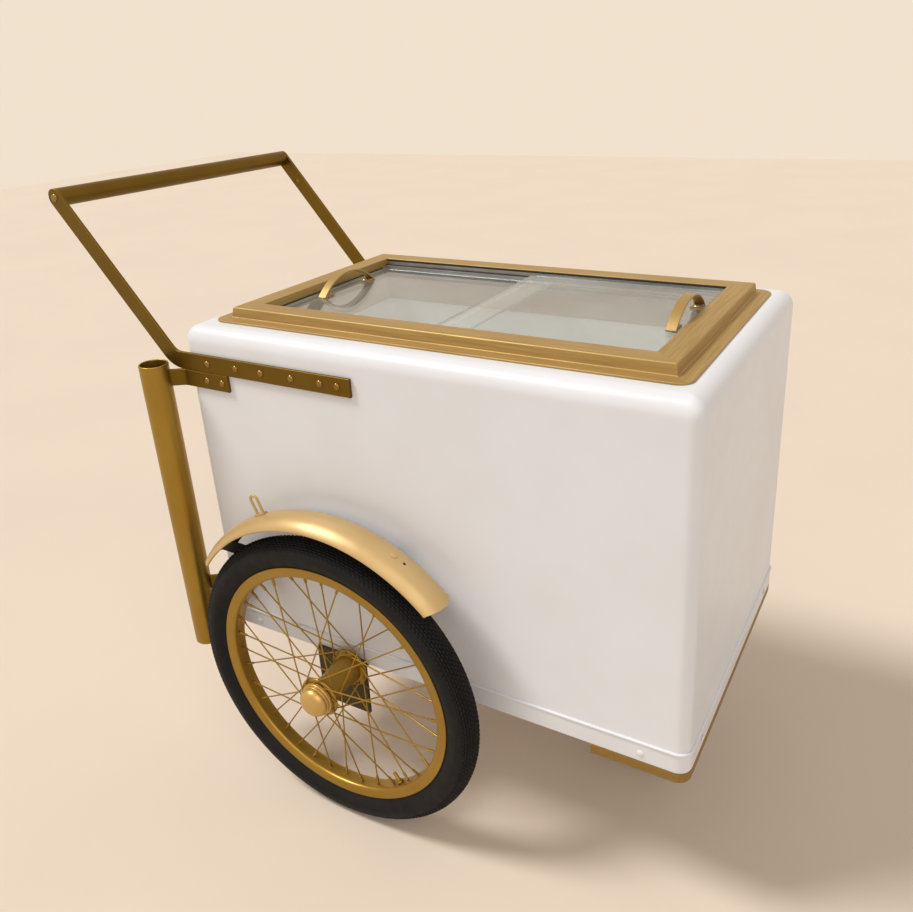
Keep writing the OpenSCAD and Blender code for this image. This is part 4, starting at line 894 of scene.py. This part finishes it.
def build_axles():
    """Axle brackets, stub axles, nuts and bearings keep their CAD shapes and get their finishes."""
    # Painted shade: the axle brackets get a very dark gold that stands in for their shade
    dress("dark_gold", "near_axle_bracket", "far_axle_bracket")
    dress("zinc", "axle_bracket_bolts", "near_stub_axle", "far_stub_axle", "axle_nuts", "near_bearings",
          "far_bearings")


def tyre_surface(side):
    """A tyre: a round section turned about the axle. On the crown, the radius drops into grooves that leave
    rows of small blocks, each row set half a block round from the next; the sides are smooth, with two fine
    ribs. Places round the section are angles from the crown's middle, and a block's are shares of its row
    and its step."""
    s = sizes("wheels")
    crown, foot, gap, rows, row_n, side_n = 1.22, 2.35, 0.03, 13, 6, 13
    block_w, slope_w, block_l, worn = 0.30, 0.10, 0.26, 0.4 * MM
    rib_at, rib_w, rib_rise = 1.72, 0.05, 0.5 * MM
    half, middle = TYRE.half[1], TYRE.half[2] - TYRE.half[1]
    a = np.linspace(0, 2 * np.pi, s.tread_blocks * 4, endpoint=False)[None, :]
    flank = np.linspace(crown + gap, foot, side_n)
    t = np.concatenate([-flank[::-1], np.linspace(-crown, crown, rows * row_n + 1), flank])[:, None]
    row = (t + crown) / (2 * crown) * rows
    step = a / (2 * np.pi) * s.tread_blocks + 0.5 * np.floor(row + 1e-6)
    across = np.clip((np.abs(row % 1.0 - 0.5) - block_w) / slope_w, 0, 1)
    along = (np.abs(step % 1.0 - 0.5) > block_l).astype(float)
    groove = np.maximum(across, along) * (np.abs(t) < crown)
    rib = rib_rise * np.exp(-((np.abs(t) - rib_at) / rib_w) ** 2)
    depth = s.tread_depth * np.clip(1.5 - 0.7 * np.abs(t), 0.4, 1.0)
    radius = half - depth * groove - worn + rib
    tuck_r, tuck_out = np.full((2, a.size), RIM.half[2] - 4 * MM), np.array([[10.5], [-10.5]]) * MM
    r = np.concatenate([middle + radius * np.cos(t), tuck_r])
    out = np.concatenate([radius * np.sin(t), np.broadcast_to(tuck_out, (2, a.size))])
    return skin(wheel_points(side, r * np.cos(a), r * np.sin(a), out), ring=True)


def rim_surface(side):
    """A rim: a channel section with rounded edges, turned about the axle."""
    r, half = RIM.half[2], RIM.half[1]
    lip, well, wall, depth, rise = (v * MM for v in (1.25, 9, 2.5, 18, 15.5))
    a = arc(0, np.pi, 6)
    right = np.stack([r - lip + lip * np.sin(a), half - lip + lip * np.cos(a)], 1)
    b = np.sin(np.linspace(-np.pi / 2, np.pi / 2, 25))
    back = np.stack([r - depth + rise * (1 - (1 - np.abs(b) ** 5) ** 0.2), half * b * 0.985], 1)
    profile = np.concatenate([right, [(r - well, half - wall), (r - well, wall - half)],
                              right[::-1] * [1, -1], back])
    return turned(profile, (AXLE_X, side * WHEEL_Y, AXLE_Z), (0, side, 0), 160, ring=True)


def spoke_surface(side):
    """A wheel's spokes: each has its shank, its bent end through a hub flange and its nipple in the rim.
    They go by turns to the outer and the inner flange, and lean forward and back."""
    s = sizes("wheels")
    rim_in, eye_out, flange_out, flange_in, beside, through, stagger = (
        v * MM for v in (18.4, 1.1, 36, -40, 4.7, 3.4, 1.3))
    start, stop, nipple_len, nipple_r = (v * MM for v in (1, 10, 13, 2.1))
    past_share, pin_share = 0.12, 1.2
    i = np.arange(s.spokes)
    lean, rim_a = np.where((i // 2) % 2 == 0, 1, -1), i * 2 * np.pi / s.spokes
    hub_a = rim_a + lean * s.spoke_lean
    hub_r, rim_r = (s.hub_r + s.hub_flange_r) / 2 + eye_out, RIM.half[2] - rim_in
    flange = np.where(i % 2 == 0, flange_out, flange_in)
    hub, pin = (wheel_points(side, hub_r * np.cos(hub_a), hub_r * np.sin(hub_a), flange + v)
                for v in (lean * beside, -lean * through))
    rim = wheel_points(side, rim_r * np.cos(rim_a), rim_r * np.sin(rim_a), lean * stagger)
    way = (rim - hub) / np.linalg.norm(rim - hub, axis=1, keepdims=True)
    return [rods(hub - way * start, rim - way * stop, s.spoke_r),
            rods(pin, hub + (hub - pin) * past_share, s.spoke_r * pin_share),
            rods(rim - way * nipple_len, rim, nipple_r)]


def hub_profile():
    """The hub's outline, from its inner end to its outer end: a waisted barrel with two flanges."""
    s = sizes("wheels")
    b, f, bore, inner_end, outer_end = s.hub_r / MM, s.hub_flange_r / MM, 12.5, -44, s.hub_out / MM
    z = np.linspace(-37.5, 33.5, 15)
    waist = np.stack([b - 2 * np.cos(np.pi * (z + 2) / 73), z], 1)
    inner = [(bore, inner_end), (b - 1, inner_end), (b, -43), (b, -42.2), (f - 1, -42), (f, -41), (f, -39),
             (f - 1, -38), (b + 1, -38)]
    outer = [(b + 1, 34), (f - 1, 34), (f, 35), (f, 37), (f - 1, 38), (b, 38.2), (b, 39), (b - 1, outer_end),
             (bore, outer_end)]
    return np.concatenate([inner, waist, outer]) * MM


def cap_profile(reach):
    """The dust cap's outline: a stepped foot of two rounded rings, then a ball-like nose that closes at the
    middle."""
    r, bore, edge_r, nose = sizes("wheels").cap_r / MM, 14.5, 1.4, 9.7
    ring, a = arc(0, np.pi / 2, 4), arc(0, np.pi / 2 - TIP, 18)
    foot, step = (on_circle(ring, edge_r, r - edge_r - inset, up) for inset, up in ((0.0, 3.6), (1.5, 8.2)))
    ball = np.stack([(r - 3) * np.cos(a) ** 0.9, nose + (reach / MM - nose) * np.sin(a)], 1)
    outline = [[(bore, 0), (r, 0)], foot, [(r - 2.6, 5.1)], step, [(r - 4.2, nose)], ball[1:]]
    return np.concatenate(outline) * MM


# The valve's outline: its radius at places along the stem
VALVE = np.array([(0.4, -19), (2.4, -19), (2.8, -18.5), (2.8, -9), (3.2, -8.5), (3.2, -4), (5.4, -4),
                  (5.8, -3.6), (5.8, -0.4), (5.4, 0), (3.2, 0), (3.2, 6), (0.4, 6)]) * MM


def build_road_wheels():
    """Both road wheels: tyre, rim, spokes with nipples, hub, dust cap and valve."""
    s, cap_reach, valve_in = sizes("wheels"), 2 * Box("near_dust_cap").half[1], 18.1 * MM
    for side, name in SIDES:
        body, axis = name + "_wheel", np.array([0.0, side, 0.0])
        centre = np.array([AXLE_X, side * WHEEL_Y, AXLE_Z])
        add_piece(name + "_road_tyre", [tyre_surface(side)], "tyre_rubber", [name + "_tyre"],
                  body, sharp=35)
        add_piece(name + "_wheel_rim", [rim_surface(side)], "rim_gold_painted_shade", [name + "_rim"], body)
        add_piece(name + "_wheel_spokes", spoke_surface(side), "rim_gold_painted_shade", [name + "_spokes"],
                  body)
        add_piece(name + "_wheel_hub", [turned(hub_profile(), centre, axis, 72)], "rim_gold_painted_shade", [name + "_hub"],
                  body)
        cap = turned(cap_profile(cap_reach), centre + axis * s.hub_out, axis, 72)
        add_piece(name + "_hub_cap", [cap], "cap_gold", [name + "_dust_cap"], body)
        out = np.array([math.cos(s.valve_turn), 0.0, math.sin(s.valve_turn)])
        valve = turned(VALVE, centre + out * (RIM.half[2] - valve_in), out, 18)
        add_piece(name + "_valve", [valve], "rim_gold_painted_shade", body=body)


def fender_frame(side, turn=0.0):
    """A fender's centre, its outward direction and its forward-turning direction at an angle."""
    s = sizes("wheels")
    centre = np.array([AXLE_X + s.fender_ahead, side * WHEEL_Y, AXLE_Z + s.fender_above])
    out, along = np.array([[math.cos(turn), 0, math.sin(turn)], [-math.sin(turn), 0, math.cos(turn)]])
    return centre, out, along


def fender_surface(side):
    """A fender: a bowed sheet with a rolled bead along both edges, turned about the fender's centre between
    two angles. The ends are arcs of a circle, so each line along the fender starts later and stops sooner
    the nearer it is to an edge."""
    s, bead = sizes("wheels"), 1.9 * MM
    bow, half = s.fender_bow, s.fender_half
    end = math.asin((half - bead) / bow)
    b, c = np.linspace(-end, end, 31), np.linspace(0, 1.5 * np.pi, 9)[1:-1]
    roll = on_circle(end + c, bead, (bow - bead) * math.cos(end), (bow - bead) * math.sin(end))
    inner = on_circle(b, bow - s.fender_t, 0, 0)
    loop = np.concatenate([on_circle(b, bow, 0, 0), roll, inner[::-1], roll[::-1] * [1, -1]])
    end_r = (half ** 2 + s.fender_tongue ** 2) / (2 * s.fender_tongue)
    late = (end_r - np.sqrt(end_r ** 2 - np.minimum(np.abs(loop[:, 1]), half) ** 2)) / s.fender_r
    share = np.linspace(0, 1, 121)[:, None]
    turn = s.fender_front + late + share * (s.fender_rear - s.fender_front - 2 * late)
    radius, (x, y, z) = s.fender_r - bow + loop[:, 0], fender_frame(side)[0]
    across = np.broadcast_to(y + side * loop[:, 1], turn.shape)
    return skin(np.stack([x + radius * np.cos(turn), across, z + radius * np.sin(turn)], -1))


def drilled(piece, cutter):
    """Cuts a part out of a piece's mesh for good."""
    drill = put("drill", mesh_of("drill", *cutter))
    cut = piece.modifiers.new("Hole", "BOOLEAN")
    cut.operation, cut.solver, cut.object = "DIFFERENCE", "EXACT", drill
    whole, solid = piece.data, drill.data
    shape = bpy.data.meshes.new_from_object(piece.evaluated_get(bpy.context.evaluated_depsgraph_get()))
    piece.modifiers.clear()
    piece.data = shape
    shape.name = whole.name
    bpy.data.objects.remove(drill)
    bpy.data.meshes.remove(solid)
    bpy.data.meshes.remove(whole)
    shape.set_sharp_from_angle(angle=math.radians(SHARP))


def undersealed(piece, side):
    """Gives a fender's inner faces, which look toward the middle of its bow, the second finish."""
    s, mesh, inward = sizes("wheels"), piece.data, 10 * MM
    spot = facets(mesh, "center") - fender_frame(side)[0]
    turn = np.arctan2(spot[:, 2], spot[:, 0])
    ring = (s.fender_r - s.fender_bow) * np.stack([np.cos(turn), 0 * turn, np.sin(turn)], 1)
    inner = np.einsum("ij,ij->i", spot - ring, facets(mesh, "normal")) < -inward
    mesh.polygons.foreach_set("material_index", inner.astype(np.int32))


def stay_strap(side, turn):
    """A stay: a flat section carried from under the fender's crown, round its inner edge, across to the
    body and down it."""
    s, gap, step, ease, edge_r = sizes("wheels"), 0.2 * MM, 1 * MM, 8 * MM, 1 * MM
    centre, out, along = fender_frame(side, turn)
    seat, t, bow, bow_r = s.fender_half / 4, s.stay_t, s.fender_bow, s.fender_r - s.fender_bow
    top = bow_r + math.sqrt((bow - s.fender_t) ** 2 - seat ** 2) - gap - t / 2
    under = bow_r + math.sqrt(bow ** 2 - s.fender_half ** 2) - s.stay_low
    wall = BODY.half[1] - WHEEL_Y + t / 2
    corners = [[top, seat], [top, -seat], [under, -s.fender_half - t], [under, wall],
               [under - s.stay_tab, wall]]
    line = bent(corners, step, ease)
    line[:, 1] = np.maximum(line[:, 1], wall)
    path = centre + line[:, :1] * out + side * line[:, 1:] * np.array([0.0, 1.0, 0.0])
    return carried(section(t, s.stay_w, edge_r), path, along)


def strap_loop(side):
    """The slotted loop on a fender's crown, an arch of flat wire, and the foot that it stands on."""
    s = sizes("wheels")
    centre, out, along = fender_frame(side, s.loop_turn)
    w, rise, sunk, knee, wire_step = (v * MM for v in (6.4, 24.5, -2, 12, 1.2))
    wire, plate = section(4.2 * MM, 3.4 * MM, 1.3 * MM), section(9 * MM, 3 * MM, 0.8 * MM)
    arch = on_circle(arc(np.pi, 0, 14), w, 0, rise)
    u = np.concatenate([[-w] * 2, arch[:, 0], [w] * 2])
    v = np.concatenate([[sunk, knee], arch[:, 1], [knee, sunk]])
    path = centre + (s.fender_r + v)[:, None] * out + u[:, None] * along
    foot_up, foot_half = 0.8 * MM, 10 * MM
    foot = centre + (s.fender_r + foot_up) * out + np.linspace(-foot_half, foot_half, 9)[:, None] * along
    return [carried(wire, evenly(path, wire_step), (0, 1, 0)), carried(plate, foot, out)]


def build_fenders():
    """Both fenders with their holes, slotted loops, stays and rivets."""
    s = sizes("wheels")
    loops, heads, stays, drill_half, head_r, head_rise = [], [], [], 10 * MM, 5 * MM, 1.6 * MM
    for side, name in SIDES:
        # The fender wears the painted-light gold outside and a black that paints the shade inside
        guard = add_piece(name + "_mudguard", [fender_surface(side)], "pale_gold underseal",
                          [name + "_fender"])
        centre, out, _ = fender_frame(side, s.hole_turn)
        drill = [(s.hole_r, -drill_half), (s.hole_r, drill_half)]
        drilled(guard, turned(drill, centre + out * s.fender_r, out, 20))
        undersealed(guard, side)
        loops += strap_loop(side)
        for turn in (s.front_stay, s.rear_stay):
            centre, out, _ = fender_frame(side, turn)
            heads.append(domes([centre + out * s.fender_r], out, head_r, head_rise))
            stays.append(stay_strap(side, turn))
    add_piece("fender_strap_loops", loops, "pale_gold", ["fender_loops"], flats=True)
    add_piece("fender_rivet_heads", heads, "pale_gold", ["fender_rivets"])
    add_piece("fender_stay_straps", stays, "black_paint", ["fender_stays"], flats=True)
    dress("black_paint", "fender_stay_bolts")


def build_caster():
    """The caster: its tyre is turned about its axle, and its wheel and metalwork keep their CAD shapes."""
    tyre, tyre_t = Box("caster_tyre"), 20 * MM
    r, half, shoulder = tyre.half[2], tyre.half[1], tyre.half[1] / 2
    right = on_circle(arc(0, np.pi / 2, 4), shoulder, r - shoulder, half - shoulder)
    tread = np.concatenate([[(r - tyre_t, -half)], right[::-1] * [1, -1], right, [(r - tyre_t, half)]])
    add_piece("caster_roller_tyre", [turned(tread, tyre.mid, (0, 1, 0), 96, ring=True)], "caster_rubber",
              ["caster_tyre"], "caster_roller")
    dress("aluminium", "caster_wheel")
    dress("zinc", "caster_top_plate", "caster_kingpin", "caster_fork", "caster_axle_bolt")


# Stage

def facing(back, roll=0.0, place=(0.0, 0.0, 0.0)):
    """A matrix whose third axis points along a direction and whose second is upright, but for a roll."""
    back = np.asarray(back, float) / np.linalg.norm(back)
    side = np.cross([0.0, 0.0, 1.0], back)
    side /= np.linalg.norm(side)
    up = np.cross(back, side)
    turn = np.eye(4)
    turn[:3, 0] = math.cos(roll) * side + math.sin(roll) * up
    turn[:3, 1] = math.cos(roll) * up - math.sin(roll) * side
    turn[:3, 2], turn[:3, 3] = back, place
    return Matrix(turn.tolist())


def lamp(name, energy, spread, tint, toward):
    """A distant lamp with a soft edge, which shines from a direction."""
    data = bpy.data.lights.new(name, "SUN")
    data.energy, data.angle, data.color = energy, spread, tint
    put(name, data).matrix_world = facing(toward)


def build_stage():
    """The camera at the photograph's place, a pale floor, a soft key from the left, a softer lamp beside
    the camera and an even sky."""
    scene = bpy.context.scene
    yaw, pitch, roll = map(math.radians, (31.004, 25.075, -2.793))
    place, focal_px, photo_px, sensor = (0.69084, -1.10499, 1.12388), 845.5, 913, 36.0
    data = bpy.data.cameras.new("camera")
    data.sensor_width, data.sensor_fit, data.lens = sensor, "HORIZONTAL", focal_px / photo_px * sensor
    data.clip_start, data.clip_end = 0.05, 100.0
    back = (math.sin(yaw) * math.cos(pitch), -math.cos(yaw) * math.cos(pitch), math.sin(pitch))
    scene.camera = put("camera", data)
    scene.camera.matrix_world = facing(back, roll, place)

    f = material("floor_plaster")
    ground = f.shader(hue("floor"), 0.0, 0.85)
    cloudy = f.blend(f.ramp(f.noise(1.6, detail=3.0), 0.35, 0.65), hue("floor"), hue("floor", 0.97))
    f.feed(ground["Base Color"], f.blend(f.seen(), hue("bounce"), cloudy))
    floor_half = 9.0
    corners = floor_half * np.array([[-1, -1, 0], [1, -1, 0], [1, 1, 0], [-1, 1, 0]])
    floor = put("floor", mesh_of("floor", corners, [np.array([[0, 1, 2, 3]])]))
    floor.data.materials.append(f.owner)

    lamp("key", energy=2.2, spread=0.26, tint=(0.95, 0.965, 1.0), toward=(-0.50, -0.27, 0.82))
    lamp("front", energy=0.72, spread=0.8, tint=(1.0, 0.985, 0.96), toward=(0.48, -0.54, 0.69))

    sky = Nodes(bpy.data.worlds.new("studio"), "OutputWorld")
    fill, wall = (sky.add("Background", {"Color": hue(v)}).outputs[0] for v in ("fill", "wall"))
    sky.feed(sky.surface, sky.mix(sky.seen(), fill, wall))
    scene.world = sky.owner
    scene.view_settings.view_transform = "Standard"


# Operators, panel and the run

def operator(label, build):
    """An operator that runs one builder."""
    def execute(self, context):
        build()
        return {"FINISHED"}
    name = build.__name__.removeprefix("build_")
    return type("CART_OT_" + name, (bpy.types.Operator,), {
        "bl_idname": "cart." + name, "bl_label": label, "__doc__": build.__doc__, "execute": execute})


STEPS = [operator(label, build) for label, build in (
    ("Build body", build_body), ("Build base", build_base), ("Finish tub", build_tub),
    ("Build lid frame", build_lid_frame), ("Build panes", build_panes),
    ("Build push handle", build_push_handle), ("Build umbrella tube", build_umbrella_tube),
    ("Finish axles", build_axles), ("Build road wheels", build_road_wheels),
    ("Build fenders", build_fenders), ("Build caster", build_caster), ("Set the stage", build_stage))]

GROUPS = {"body": CartBodySizes, "lid": CartLidSizes, "handle": CartHandleSizes, "wheels": CartWheelSizes,
          "colours": CartColours}


class CART_PT_panel(bpy.types.Panel):
    """Lists the cart's builders and the sizes and colours they use."""
    bl_idname = "CART_PT_panel"
    bl_label = "Push Cart"
    bl_space_type = "VIEW_3D"
    bl_region_type = "UI"
    bl_category = "Push Cart"

    def draw(self, context):
        for step in STEPS:
            self.layout.operator(step.bl_idname)
        for kind, group in GROUPS.items():
            box = self.layout.box()
            for key in group.__annotations__:
                box.prop(getattr(context.scene, "cart_" + kind), key)


def register():
    for cls in [*GROUPS.values(), *STEPS, CART_PT_panel]:
        bpy.utils.register_class(cls)
    for kind, group in GROUPS.items():
        setattr(bpy.types.Scene, "cart_" + kind, PointerProperty(type=group))


def unregister():
    for kind in GROUPS:
        delattr(bpy.types.Scene, "cart_" + kind)
    for cls in [CART_PT_panel, *reversed(STEPS), *reversed(GROUPS.values())]:
        bpy.utils.unregister_class(cls)


def main():
    register()
    for step in STEPS:
        group, name = step.bl_idname.split(".")
        getattr(getattr(bpy.ops, group), name)()


if __name__ == "__main__":
    main()
